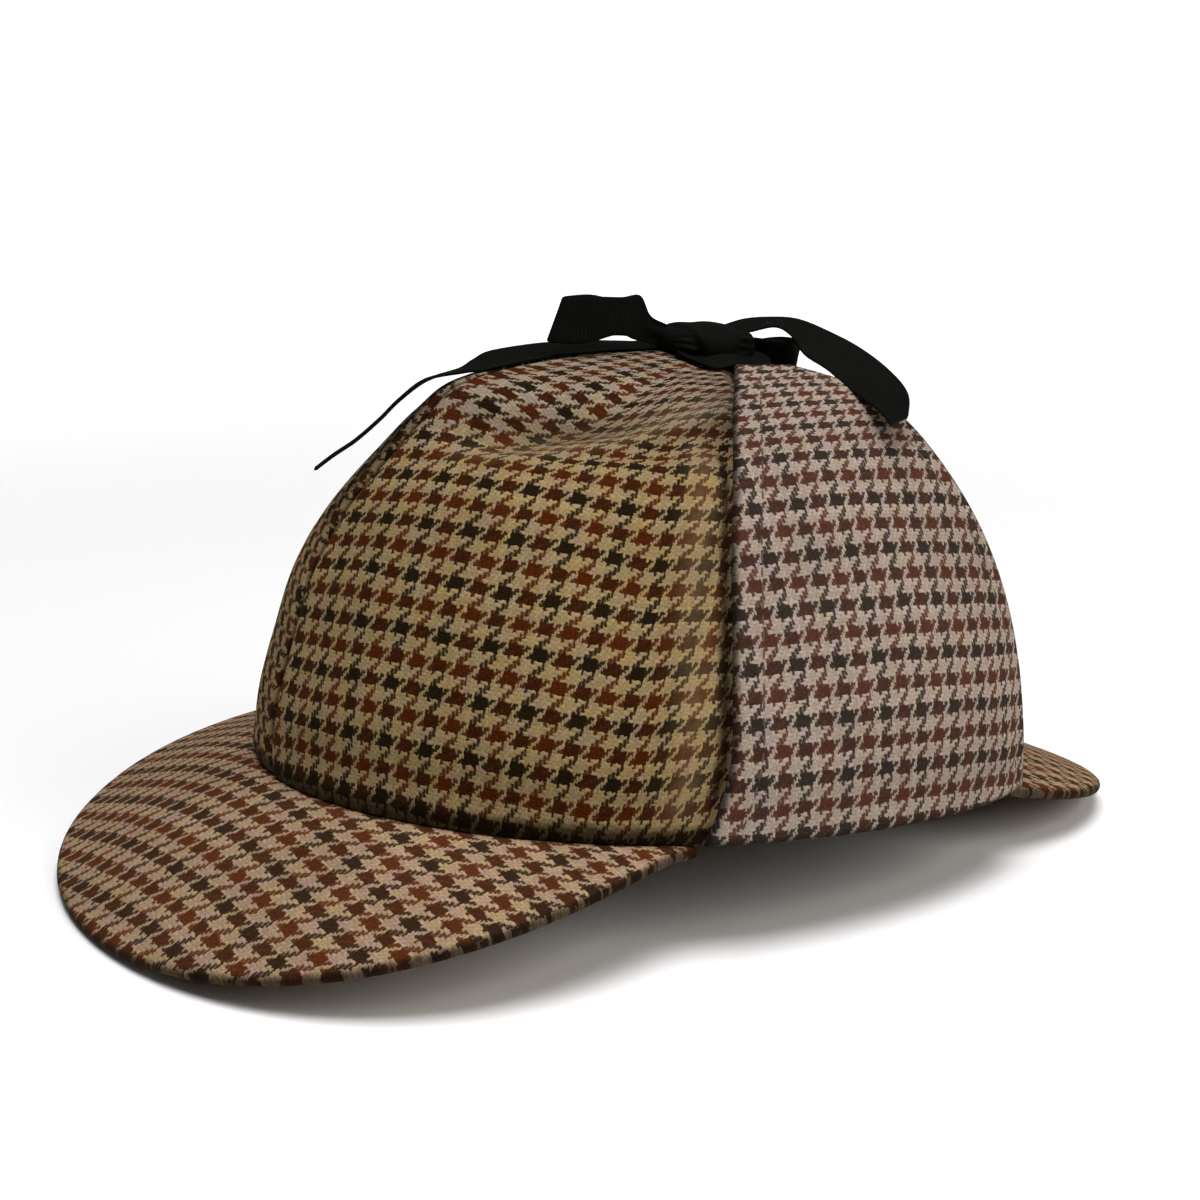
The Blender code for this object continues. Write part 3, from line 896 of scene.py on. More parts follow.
@dataclass
class ClothPiece:
    """A closed piece of cloth: an outer and an inner face that meet round its rolled rim.

    Attributes:
        name: The object's name.
        node: The solid that it stands for.
        slot: The record's material slot; not used.
        material: Its finish.
        thickness: Its thickness in millimetres.
        held: How the cloth is held; not used.
        rests_on: What it lies on; not used.
    """

    name: str
    node: str
    slot: Slot
    material: bpy.types.Material
    thickness: float
    held: Hold = Hold.STRETCHED
    rests_on: tuple[str, ...] = ()

    def build(
        self,
        middle: Grid,
        flat: Grid,
        grain: Grid | None = None,
        crease: Grid | None = None,
        roll_highlight: Grid | None = None,
    ) -> bpy.types.Object:
        """Makes the piece and puts it in the frame.

        Args:
            middle: The middle of the cloth's thickness, a grid of points in millimetres.
            flat: The same grid on the cutting table, in millimetres.
            grain: The same grid on the weave, where steam and seams have drawn it out of square.
            crease: How far each point is from a crease, in millimetres, where there is one besides the rim.
            roll_highlight: How strongly each point gets the painted highlight on the rolls, from 0 to 1.

        Returns:
            The piece.
        """
        rim = rim_distance(flat)
        half = 0.5 * self.thickness
        inside = np.clip(rim / half, 0.0, 1.0)
        lift = (half * np.sqrt(1.0 - np.square(1.0 - inside)))[..., None]
        out = outwards(middle)
        body = bmesh.new()
        uv = body.loops.layers.uv.new(FLAT_CUT)
        # The painted shade along the rims and creases follows this distance
        crease_shade = rim if crease is None else np.minimum(rim, crease)
        marks = {
            body.verts.layers.float.new(CREASE): crease_shade,
            body.verts.layers.float.new(ROLL_HIGHLIGHT): np.zeros_like(rim) if roll_highlight is None else roll_highlight,
        }
        for face, points in enumerate((middle + out * lift, middle - out * lift)):
            weave = flat if grain is None else grain
            self.add_face(body, uv, marks, STANCE.place(points), weave, turned=face == 1)
        bmesh.ops.remove_doubles(body, verts=body.verts, dist=0.004 * MM)
        made = put_in_scene(body, self.name, self.material)
        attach(made, ROOT)
        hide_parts(self.node)
        self.declare(made, flat)
        return made

    @staticmethod
    def add_face(
        body: bmesh.types.BMesh,
        uv: bmesh.types.BMLayerItem,
        marks: dict[bmesh.types.BMLayerItem, Grid],
        points: Grid,
        flat: Grid,
        turned: bool,
    ) -> None:
        """Adds one face of the cloth to the mesh.

        Args:
            body: The mesh under construction.
            uv: The flat cut's UV layer.
            marks: Each vertex layer with its values.
            points: The face's points, in metres.
            flat: The same points on the weave, in millimetres.
            turned: Whether the face looks inwards.
        """
        rows, columns = points.shape[0] - 1, points.shape[1] - 1
        grid = bmesh.ops.create_grid(body, x_segments=columns, y_segments=rows, size=0.5)
        where = {}
        for vertex in grid["verts"]:
            spot = (round((vertex.co.y + 0.5) * rows), round((vertex.co.x + 0.5) * columns))
            where[vertex] = spot
            vertex.co = points[spot]
            for layer, values in marks.items():
                vertex[layer] = values[spot]
        faces = {face for vertex in grid["verts"] for face in vertex.link_faces}
        for face in faces:
            for loop in face.loops:
                loop[uv].uv = flat[where[loop.vert]] * MM
        if turned:
            bmesh.ops.reverse_faces(body, faces=list(faces))

    def declare(self, made: bpy.types.Object, flat: Grid) -> None:
        """Args:
            made: The finished piece.
            flat: Its grid on the cutting table, in millimetres.
        """
        low, high = flat.reshape(-1, 2).min(axis=0), flat.reshape(-1, 2).max(axis=0)
        size = (high - low) * MM
        list(self.rests_on)
        LOG.info("%s: cut %.0f x %.0f mm, %d faces", self.name, *(size / MM), len(made.data.polygons))


@dataclass
class Crown:
    """The four quarter panels of the soft crown.

    Attributes:
        cloth: The tweed.
        wall: The cloth's thickness in millimetres.
        gap: The gap along a seam.
        seam_y: Where the side seams stand.
        columns: Faces across a panel.
        rows: Faces up a panel.
        fold: The dent's sharp lower lip on the left front panel's cut, point by point.
        fold_start: Where that lip begins, and where it is at its fullest, across the cut.
        swing: How the weave lies above the lip, as two rows that turn the cut's x and y.
        weave: How the weave lies on the left front panel's cut, as two rows that turn its x and y.
        bend_from: Where across that cut the rows start to bend up towards the ear flap.
        bend: How far a millimetre past there shifts the weave.
        fall_before: Where across that cut the rows start to fall away towards the front seam.
        row_fall: How steeply they fall there.
        right_lean: How steeply the right front panel's rows rise away from the front seam, in degrees.
        hem_drop: How far the hem reaches down to the brims.
        cut_size: A panel's rough width and height, which the grid is graded for.
        border: How wide its rolled rim is.
        seam_roll: How deep and how wide the cloth rolls in at a seam.
        rim_roll: The same all round the rim.
        hem_roll: The same above the brims.
        broad_swell: The cloth's broad unevenness.
        small_swell: Its small unevenness.
        pressed_deg: The angles between which an ear flap presses on the cloth, each from and to.
        flap_heights: The heights over which that flap's front edge sets in, and fades at its top.
        flap_reach: How far out the crown is there, which turns angles into millimetres.
        flap_bed: The furrow at that edge and the roll in front of it, by height, place and width.
        flap_highlight: The painted highlight on the roll in front of that edge, by strength, place and width.
        lip_form: The dent's lower lip and the crease above it, by height, place and width.
        lip_highlight: The painted highlight on the lip, by strength, place and width.
        lip_end: Where across the cut the lip fades.
        swing_band: From how far below to how far above the lip the weave swings, where it begins and
            where it is widest.
        swing_widest: Where across the cut that is.
    """

    cloth: bpy.types.Material
    wall: float = 2.0
    gap: float = 0.3
    seam_y: float = 7.0
    columns: int = 92
    rows: int = 92
    fold: tuple[tuple[float, float], ...] = (
        (-32.0, 91.6),
        (-23.7, 89.8),
        (-16.0, 90.0),
        (-2.3, 96.8),
        (12.3, 103.7),
        (21.2, 110.5),
        (29.9, 116.9),
        (35.5, 121.3),
    )
    fold_start: tuple[float, float] = (-38.0, -8.0)
    swing: tuple[tuple[float, float], ...] = ((0.884, -0.611), (0.454, 1.187))
    weave: tuple[tuple[float, float], ...] = ((1.02, -0.06), (0.0, 0.98))
    bend_from: float = 27.0
    bend: tuple[float, float] = (0.25, -0.33)
    fall_before: float = -6.0
    row_fall: float = 0.16
    right_lean: float = 32.0
    hem_drop: float = 0.55
    cut_size: tuple[float, float] = (140.0, 190.0)
    border: float = 1.4
    seam_roll: tuple[float, float] = (0.55, 2.6)
    rim_roll: tuple[float, float] = (0.35, 1.6)
    hem_roll: tuple[float, float] = (0.8, 2.2)
    broad_swell: Swell = (0.55, 34.0, 3.1)
    small_swell: Swell = (0.22, 12.0, 8.4)
    pressed_deg: tuple[tuple[float, float], ...] = ((66.0, 71.0), (139.0, 146.0))
    flap_heights: tuple[tuple[float, float], ...] = ((2.0, 10.0), (84.0, 97.0))
    flap_reach: float = 88.0
    flap_bed: tuple[tuple[float, float, float], ...] = ((1.5, -0.4, 2.6), (-0.9, 9.0, 4.5))
    flap_highlight: tuple[float, float, float] = (0.24, 7.5, 4.0)
    lip_form: tuple[tuple[float, float, float], ...] = ((0.7, -2.2, 3.4), (-0.9, 2.6, 2.6))
    lip_highlight: tuple[float, float, float] = (0.3, 1.5, 4.0)
    lip_end: tuple[float, float] = (30.0, 42.0)
    swing_band: tuple[tuple[float, float], ...] = ((-3.0, 5.5), (-6.0, 21.5))
    swing_widest: float = 30.0

    def build(self) -> list[bpy.types.Object]:
        """Makes the four panels."""
        return [self.panel(side, end) for side in Side for end in End]

    def angles(self, side: Side, end: End, u: Grid, level: Grid) -> Grid:
        """The angles of a panel's points.

        Args:
            side: The panel's side of the hat.
            end: The panel's end of the hat.
            u: Places across the panel, rising with the angle.
            level: Level numbers.

        Returns:
            Signed angles in radians.
        """
        seam = CROWN.seam_angle(level, self.seam_y)
        low, high = (0.0, seam) if end is End.FRONT else (seam, pi)
        if side is Side.LEFT:
            return low + (high - low) * u
        return -high + (high - low) * u

    def panel(self, side: Side, end: End) -> bpy.types.Object:
        """Makes one panel, with its rolled seams and its share of the dent.

        Args:
            side: The panel's side of the hat.
            end: The panel's end of the hat.

        Returns:
            The panel.
        """
        name = f"crown_panel_{end.name.lower()}_{side.name.lower()}"
        us = graded(self.columns, self.cut_size[0], self.border)
        vs = graded(self.rows, self.cut_size[1], self.border)
        u_even, v_even = even_crossings(41, 41)
        coarse = CROWN.face(self.angles(side, end, u_even, v_even * CROWN.top), v_even * CROWN.top)
        flat = between(lay_flat(coarse), us, vs)
        u, v = crossings(us, vs)
        level = v * CROWN.top
        angle = self.angles(side, end, u, level)
        face = CROWN.face(angle, level)
        out = CROWN.outward(angle, np.minimum(level, CROWN.top - 0.03))
        rim = rim_distance(flat)
        seams = nearest(flat, np.vstack([flat[:, 0], flat[:, -1]]))
        rolls = ((seams, self.seam_roll), (rim, self.rim_roll), (face[..., 2], self.hem_roll))
        sink = 0.5 * self.wall + CROWN.dent_depth(face)
        sink += sum(deep * hump(away, wide) for away, (deep, wide) in rolls)
        sink += self.swell(face, angle, level) * ease(rim, 1.0, 9.0) + self.beside_flap(face, angle)
        dented = side is Side.LEFT and end is End.FRONT
        if dented:
            sink -= self.lip(flat)
        middle = face - out * sink[..., None]
        middle[..., 2] -= self.hem_drop * hump(face[..., 2], 3.0)
        middle = self.keep_gap(middle, side, end)
        crease, roll_highlight = self.marks(flat, face, angle, dented)
        piece = ClothPiece(f"{name}_cloth", name, Slot.TWEED, self.cloth, self.wall)
        return piece.build(middle, flat, self.grain(flat, side, end), crease, roll_highlight)

    def marks(self, flat: Grid, face: Grid, angle: Grid, dented: bool) -> tuple[Grid, Grid]:
        """Finds where painted shade darkens the creases and where painted highlight lights the rolls.

        Args:
            flat: The panel's cut, in millimetres.
            face: Points of the crown's face, in millimetres.
            angle: Their signed angles.
            dented: Whether the panel carries the long dent.

        Returns:
            How far each point is from a crease, in millimetres, and how strongly it gets the painted
            highlight.
        """
        away, tall = self.before_flap(face, angle)
        # The painted shade follows the furrow beside the flap's front edge and the hem above the brims
        beside = np.abs(away - 0.8) * 0.8 + 9.0 * (1.0 - tall)
        crease = np.minimum(beside, np.maximum(face[..., 2] - 3.0, 0.0))
        # Painted highlight on the roll in front of the flap's edge, and below on the dent's lip
        roll_highlight = ridges(away, [self.flap_highlight]) * tall
        if dented:
            roll_highlight += ridges(self.above_fold(flat), [self.lip_highlight]) * ease(flat[..., 0], *self.fold_start)
        return crease, roll_highlight

    def before_flap(self, face: Grid, angle: Grid) -> tuple[Grid, Grid]:
        """Measures the cloth in front of an ear flap's front edge.

        Args:
            face: Points of the crown's face, in millimetres.
            angle: Their signed angles.

        Returns:
            How far before the edge the points lie, in millimetres, and 1 where the flap stands, which
            fades to 0 at its ends.
        """
        rows = np.array(EarFlaps.levels)
        edge = np.interp(face[..., 2], rows[:, 0], rows[:, 1])
        foot, head = self.flap_heights
        tall = ease(face[..., 2], *foot) * (1.0 - ease(face[..., 2], *head))
        return (np.radians(edge) - np.abs(angle)) * self.flap_reach, tall

    def beside_flap(self, face: Grid, angle: Grid) -> Grid:
        """How far the cloth sinks beside the flap's edge in millimetres, below 0 on the roll before it."""
        away, tall = self.before_flap(face, angle)
        return tall * ridges(away, self.flap_bed)

    def above_fold(self, flat: Grid) -> Grid:
        """How far points of the left front panel's cut lie above the dent's lower lip, in millimetres."""
        fold = np.array(self.fold)
        return flat[..., 1] - np.interp(flat[..., 0], fold[:, 0], fold[:, 1])

    def lip(self, flat: Grid) -> Grid:
        """How far the dent's lower lip stands out, in millimetres, with the crease above it below 0."""
        along = ease(flat[..., 0], *self.fold_start) * (1.0 - ease(flat[..., 0], *self.lip_end))
        return along * ridges(self.above_fold(flat), self.lip_form)

    def grain(self, flat: Grid, side: Side, end: End) -> Grid:
        """Where the weave lies on a panel's cut.

        The right front panel is cut aslant. On the left one the rows fall away from the front seam
        and bend up towards the ear flap, and above the dent the weave swings round.

        Args:
            flat: The panel's cut, in millimetres.
            side: The panel's side of the hat.
            end: The panel's end of the hat.

        Returns:
            The same grid on the weave, in millimetres.
        """
        x, y = side.value * flat[..., 0], flat[..., 1]
        if end is End.REAR:
            return flat
        if side is Side.RIGHT:
            lean = radians(self.right_lean)
            return np.stack([-(x * cos(lean) + y * sin(lean)), y * cos(lean) - x * sin(lean)], axis=-1)
        bend = turn_off(x - self.bend_from, 2.5)
        fall = turn_off(self.fall_before - x, 8.0)
        straight = flat @ np.array(self.weave).T
        straight += bend[..., None] * np.array(self.bend) - fall[..., None] * np.array((0.0, self.row_fall))
        # Above the fold the weave swings about the fold's second point, where it stays whole
        start = np.array(self.fold[1])
        there = np.array(self.weave) @ start - np.array((0.0, self.row_fall * (self.fall_before - start[0])))
        swung = (flat - start) @ np.array(self.swing).T + there
        spread = ease(x, 0.0, self.swing_widest)
        (low, high), (lowest, highest) = self.swing_band
        band = low + (lowest - low) * spread, high + (highest - high) * spread
        above = ease(self.above_fold(flat), *band)
        share = above * ease(x, *self.fold_start)
        return straight + (swung - straight) * share[..., None]

    def swell(self, face: Grid, angle: Grid, level: Grid) -> Grid:
        """Finds how far the cloth sinks below its even form: least under the flaps.

        Args:
            face: Points of the crown's face, in millimetres.
            angle: Their signed angles.
            level: Their level numbers.

        Returns:
            Depths in millimetres.
        """
        round_to = np.degrees(np.abs(angle))
        start, end = self.pressed_deg
        free = 1.0 - ease(round_to, *start) * (1.0 - ease(round_to, *end))
        soft = sag(face, self.broad_swell) + sag(face, self.small_swell)
        return soft * (0.35 + 0.65 * free) * ease(CROWN.top - level, 0.0, 1.2)

    def keep_gap(self, middle: Grid, side: Side, end: End) -> Grid:
        """Keeps a panel half a gap clear of the seams' planes.

        Args:
            middle: The middle of the cloth's thickness, in millimetres.
            side: The panel's side of the hat.
            end: The panel's end of the hat.

        Returns:
            The same, kept clear.
        """
        clear = 0.5 * self.gap
        kept = middle.copy()
        kept[..., 0] = side.value * np.maximum(side.value * kept[..., 0], clear)
        if end is End.FRONT:
            kept[..., 1] = np.minimum(kept[..., 1], self.seam_y - clear)
        else:
            kept[..., 1] = np.maximum(kept[..., 1], self.seam_y + clear)
        return kept


@dataclass
class BrimForm:
    """One brim's form: an edge length that fades to nothing at its ends, and a droop that changes.

    Attributes:
        name: The solid's name.
        end: Its end of the hat.
        half_angle: The angle from its middle to an end.
        length: Its length in the middle, in millimetres.
        end_power: How late the length fades.
        fade: How round the fading is.
        droop_middle: The droop in the middle, in degrees.
        droop_end: The droop at the ends, in degrees.
        fan: How far the length spreads sideways.
    """

    name: str
    end: End
    half_angle: float
    length: float
    end_power: float
    fade: float
    droop_middle: float
    droop_end: float
    fan: float


@dataclass
class Brims:
    """The two stiffened brims.

    Attributes:
        cloth: The tweed.
        forms: The two brims.
        wall: Their thickness in millimetres.
        arch: How much of the droop comes towards the edge.
        seat: How far below the crown's edge their upper face starts.
        root: How far they run under the crown.
        columns: Faces along a brim.
        rows: Faces from the crown to its edge.
        cut_width: A brim's rough width, which the grid is graded for.
        border: How wide its rolled rim is.
        swell: Its soft unevenness.
        weave: How the weave lies on a brim's plan, as two rows that turn its x and y.
    """

    cloth: bpy.types.Material
    forms: tuple[BrimForm, ...] = (
        BrimForm("front_brim", End.FRONT, 73.0, 55.7, 3.9, 1.57, 33.8, 10.9, 0.9),
        BrimForm("rear_brim", End.REAR, 42.2, 38.5, 1.55, 0.92, 17.5, 13.2, 1.0),
    )
    wall: float = 3.0
    arch: float = 1.25
    seat: float = 0.65
    root: float = 3.6
    columns: int = 120
    rows: int = 36
    cut_width: float = 190.0
    border: float = 1.5
    swell: Swell = (0.2, 26.0, 5.5)
    weave: tuple[tuple[float, float], ...] = ((0.847, 0.085), (-0.126, 1.046))

    def build(self) -> list[bpy.types.Object]:
        """Makes the front and the rear brim."""
        return [self.brim(form) for form in self.forms]

    def surface(self, form: BrimForm, u: Grid, v: Grid) -> Grid:
        """Points of a brim's upper face.

        Args:
            form: The brim.
            u: Places along it, towards +X.
            v: Places from its edge to the crown on the front brim, and the other way on the rear one.

        Returns:
            The points, in millimetres.
        """
        half_angle = radians(form.half_angle)
        turn = (2.0 * u - 1.0) * half_angle
        base_angle = turn if form.end is End.FRONT else pi - turn
        root = CROWN.face(base_angle, np.zeros_like(base_angle))
        front, sides = CROWN.levels[0][1], CROWN.levels[0][2]
        facing = np.arctan2(np.sin(turn) / sides, np.cos(turn) / front) * form.fan
        out = np.stack([np.sin(facing), form.end.value * np.cos(facing), np.zeros_like(facing)], axis=-1)
        share = np.minimum(np.abs(turn) / half_angle, 1.0)
        length = form.length * (1.0 - share**form.end_power) ** form.fade
        blend = np.square(np.sin(turn) / sin(half_angle))
        droop = np.radians(form.droop_middle + (form.droop_end - form.droop_middle) * blend)
        from_root = 1.0 - v if form.end is End.FRONT else v
        reach = from_root * (length * np.cos(droop) + self.root) - self.root
        part = np.maximum(reach, 0.0) / np.maximum(length * np.cos(droop), 0.001)
        drop = length * np.sin(droop) * part**self.arch
        points = root + out * reach[..., None]
        points[..., 2] -= self.seat + drop
        return points

    def brim(self, form: BrimForm) -> bpy.types.Object:
        """Makes one brim as two layers of cloth that roll round its edge.

        Args:
            form: The brim's form.

        Returns:
            The brim.
        """
        us = graded(self.columns, self.cut_width, self.border)
        vs = graded(self.rows, form.length, self.border)
        coarse = self.surface(form, *even_crossings(61, 25))
        flat = between(lay_flat(coarse, coarse[..., :2]), us, vs)
        top = self.surface(form, *crossings(us, vs))
        rim = rim_distance(flat)
        out = outwards(top)
        sink = 0.5 * self.wall + sag(top, self.swell) * ease(rim, 1.0, 8.0)
        middle = top - out * sink[..., None]
        piece = ClothPiece(f"{form.name}_cloth", form.name, Slot.TWEED, self.cloth, self.wall)
        return piece.build(middle, flat, top[..., :2] @ np.array(self.weave).T)


@dataclass
class EarFlaps:
    """The two turned-up ear flaps, with a row of stitching round their edges.

    Attributes:
        cloth: The tweed.
        thread: The stitching.
        levels: Height, front angle, rear angle and stand-off at the rear, one row a level.
        wall: Their thickness in millimetres.
        clearance: How far they lie off the crown.
        stand_off_power: How late the rear edge leaves the crown.
        stitch_line: How far inside the edge the stitches run, in millimetres.
        stitch_pitch: From one stitch to the next, in millimetres.
        turns_in: How far up the cut the weave closes up over the flap's turned top, in millimetres.
        closes_up: How much closer its rows then lie.
        stitch_size: A stitch's width, height and length, in millimetres.
        cut_size: A flap's rough width and height, which the grid is graded for.
        border: How wide its rolled rim is.
        swell: Its soft unevenness.
        sewn_width: How wide the furrow along the stitches is.
        columns: Faces across a flap.
        rows: Faces up a flap.
    """

    cloth: bpy.types.Material
    thread: bpy.types.Material
    levels: tuple[tuple[float, ...], ...] = (
        (0.3, 73.5, 136.5, 0.8),
        (10.0, 75.3, 136.7, 1.0),
        (20.0, 76.3, 137.0, 1.2),
        (30.0, 76.2, 137.4, 1.6),
        (40.0, 76.4, 137.5, 2.0),
        (50.0, 76.8, 137.0, 2.4),
        (60.0, 77.3, 135.8, 2.8),
        (70.0, 77.8, 134.4, 3.2),
        (80.0, 78.5, 132.8, 3.8),
        (89.0, 80.0, 131.8, 4.2),
        (95.0, 83.0, 129.0, 3.2),
        (98.5, 87.0, 118.0, 1.2),
    )
    wall: float = 2.4
    clearance: float = 0.7
    stand_off_power: float = 2.0
    stitch_line: float = 7.0
    stitch_pitch: float = 3.9
    turns_in: float = 91.0
    closes_up: float = 0.9
    stitch_size: tuple[float, float, float] = (0.6, 0.4, 2.6)
    cut_size: tuple[float, float] = (85.0, 120.0)
    border: float = 1.2
    swell: Swell = (0.12, 18.0, 6.6)
    sewn_width: float = 1.1
    columns: int = 64
    rows: int = 72

    def build(self) -> list[bpy.types.Object]:
        """Makes the two flaps and their stitching."""
        return [piece for side in Side for piece in self.flap(side)]

    def surface(self, side: Side, u: Grid, v: Grid) -> Grid:
        """Points of a flap's inner face.

        Args:
            side: The flap's side of the hat.
            u: Places across it, rising with the signed angle.
            v: Places from its fold to its top edge.

        Returns:
            The points, in millimetres.
        """
        rows = read_table(np.array(self.levels), v * (len(self.levels) - 1))
        height, front, rear, stand_off = np.moveaxis(rows, -1, 0)
        back = u if side is Side.LEFT else 1.0 - u
        angle = np.radians(front + (rear - front) * back)
        level = np.interp(height, [row[0] for row in CROWN.levels], np.arange(len(CROWN.levels)))
        out = CROWN.outward(angle, level)
        level_out = out * np.array([1.0, 1.0, 0.0])
        level_out /= np.linalg.norm(level_out, axis=-1, keepdims=True)
        away = (stand_off * back**self.stand_off_power)[..., None]
        points = CROWN.face(angle, level) + out * self.clearance + level_out * away
        return points * np.array([side.value, 1.0, 1.0])

    def flap(self, side: Side) -> list[bpy.types.Object]:
        """Makes one flap and sews the row of stitches round it.

        Args:
            side: The flap's side of the hat.

        Returns:
            The flap and its stitches.
        """
        name = f"ear_flap_{side.name.lower()}"
        us = graded(self.columns, self.cut_size[0], self.border)
        vs = graded(self.rows, self.cut_size[1], self.border)
        flat = between(lay_flat(self.surface(side, *even_crossings(31, 41))), us, vs)
        inner = self.surface(side, *crossings(us, vs))
        out = outwards(inner)
        rim = rim_distance(flat)
        sewn = hump(rim - self.stitch_line, self.sewn_width)
        raised = 0.5 * self.wall - 0.3 * sewn * (0.8 + 0.5 * rumple(inner, 5.0, 2.2))
        raised -= sag(inner, self.swell) * ease(rim, 1.0, 6.0)
        middle = inner + out * raised[..., None]
        piece = ClothPiece(f"{name}_cloth", name, Slot.TWEED, self.cloth, self.wall)
        seam = self.sew(f"{name}_stitches", middle + out * (0.5 * self.wall), out, flat)
        grain = flat.copy()
        grain[..., 1] += self.closes_up * turn_off(flat[..., 1] - self.turns_in, 3.0)
        return [piece.build(middle, flat, grain), seam]

    def stitch_path(self, flat: Grid) -> np.ndarray:
        """Finds the line of stitches: up the front edge, along the top edge and down the rear edge.

        Args:
            flat: The flap on the cutting table, in millimetres.

        Returns:
            Rows and columns of the grid, with fractions, one pair a point.
        """
        rows, columns = np.arange(flat.shape[0]), np.arange(flat.shape[1])
        across = np.linalg.norm(np.diff(flat, axis=1, prepend=flat[:, :1]), axis=-1).cumsum(axis=1)
        down = np.linalg.norm(np.diff(flat[::-1], axis=0, prepend=flat[-1:]), axis=-1).cumsum(axis=0)[::-1]
        first = np.array([np.interp(self.stitch_line, line, columns) for line in across])
        last = np.array([np.interp(line[-1] - self.stitch_line, line, columns) for line in across])
        top = np.array([np.interp(-self.stitch_line, -down[:, column], rows) for column in columns])
        limit = float(top.mean())
        upward = [(row, first[row]) for row in rows[3:] if row < limit]
        downward = [(row, last[row]) for row in rows[3:] if row < limit]
        level = [(top[column], column) for column in columns if upward[-1][1] < column < downward[-1][1]]
        return np.array(upward + level + downward[::-1], float)

    @staticmethod
    def read_grid(grid: Grid, path: np.ndarray) -> np.ndarray:
        """Reads a grid along a path.

        Args:
            grid: The grid of values.
            path: Rows and columns with fractions, one pair a point.

        Returns:
            The values along the path.
        """
        low = np.minimum(path.astype(int), np.array(grid.shape[:2]) - 2)
        part = path - low
        r, c, along_r, along_c = low[:, 0], low[:, 1], part[:, :1], part[:, 1:]
        below = grid[r, c] * (1 - along_c) + grid[r, c + 1] * along_c
        above = grid[r + 1, c] * (1 - along_c) + grid[r + 1, c + 1] * along_c
        return below * (1 - along_r) + above * along_r

    def sew(self, name: str, outer: Grid, out: Grid, flat: Grid) -> bpy.types.Object:
        """Sews the row of stitches, each a short plump thread sunk into the cloth.

        Args:
            name: The row's name.
            outer: The flap's outer face, in millimetres.
            out: The directions out of it.
            flat: The flap on the cutting table, in millimetres.

        Returns:
            All the flap's stitches as one piece.
        """
        path = self.stitch_path(flat)
        spots, ups = self.read_grid(outer, path), self.read_grid(out, path)
        run = np.concatenate([[0.0], np.cumsum(np.linalg.norm(np.diff(spots, axis=0), axis=1))])
        body = bmesh.new()
        for mark in np.arange(self.stitch_pitch, run[-1] - self.stitch_pitch, self.stitch_pitch):
            spot, ahead, up = (
                np.array([np.interp(place, run, source[:, k]) for k in range(3)])
                for place, source in ((mark, spots), (mark + 0.5, spots), (mark, ups))
            )
            along = (ahead - spot) / np.linalg.norm(ahead - spot)
            side = np.cross(up, along)
            origin = STANCE.place(spot)
            columns = [
                STANCE.place(spot + axis * size * 0.5) - origin
                for axis, size in zip((side, up, along), self.stitch_size, strict=True)
            ]
            rows = [[columns[k][row] for k in range(3)] + [origin[row]] for row in range(3)]
            matrix = Matrix([*rows, [0, 0, 0, 1]])
            bmesh.ops.create_uvsphere(body, u_segments=8, v_segments=5, radius=1.0, matrix=matrix)
        made = put_in_scene(body, name, self.thread)
        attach(made, ROOT)
        return made


# --- ribbon ----------------------------------------------------------------------------------


@dataclass
class Strip:
    """A length of ribbon.

    Attributes:
        node: The solid that it stands for.
        held: How it is held.
        stations: x, y, z, width, compass turn and lean of its width, one row for each point.
        pleats: How deep the gathering at each end is, in millimetres.
    """

    node: str
    held: Hold
    stations: tuple[tuple[float, ...], ...]
    pleats: tuple[float, float] = (0.0, 0.0)


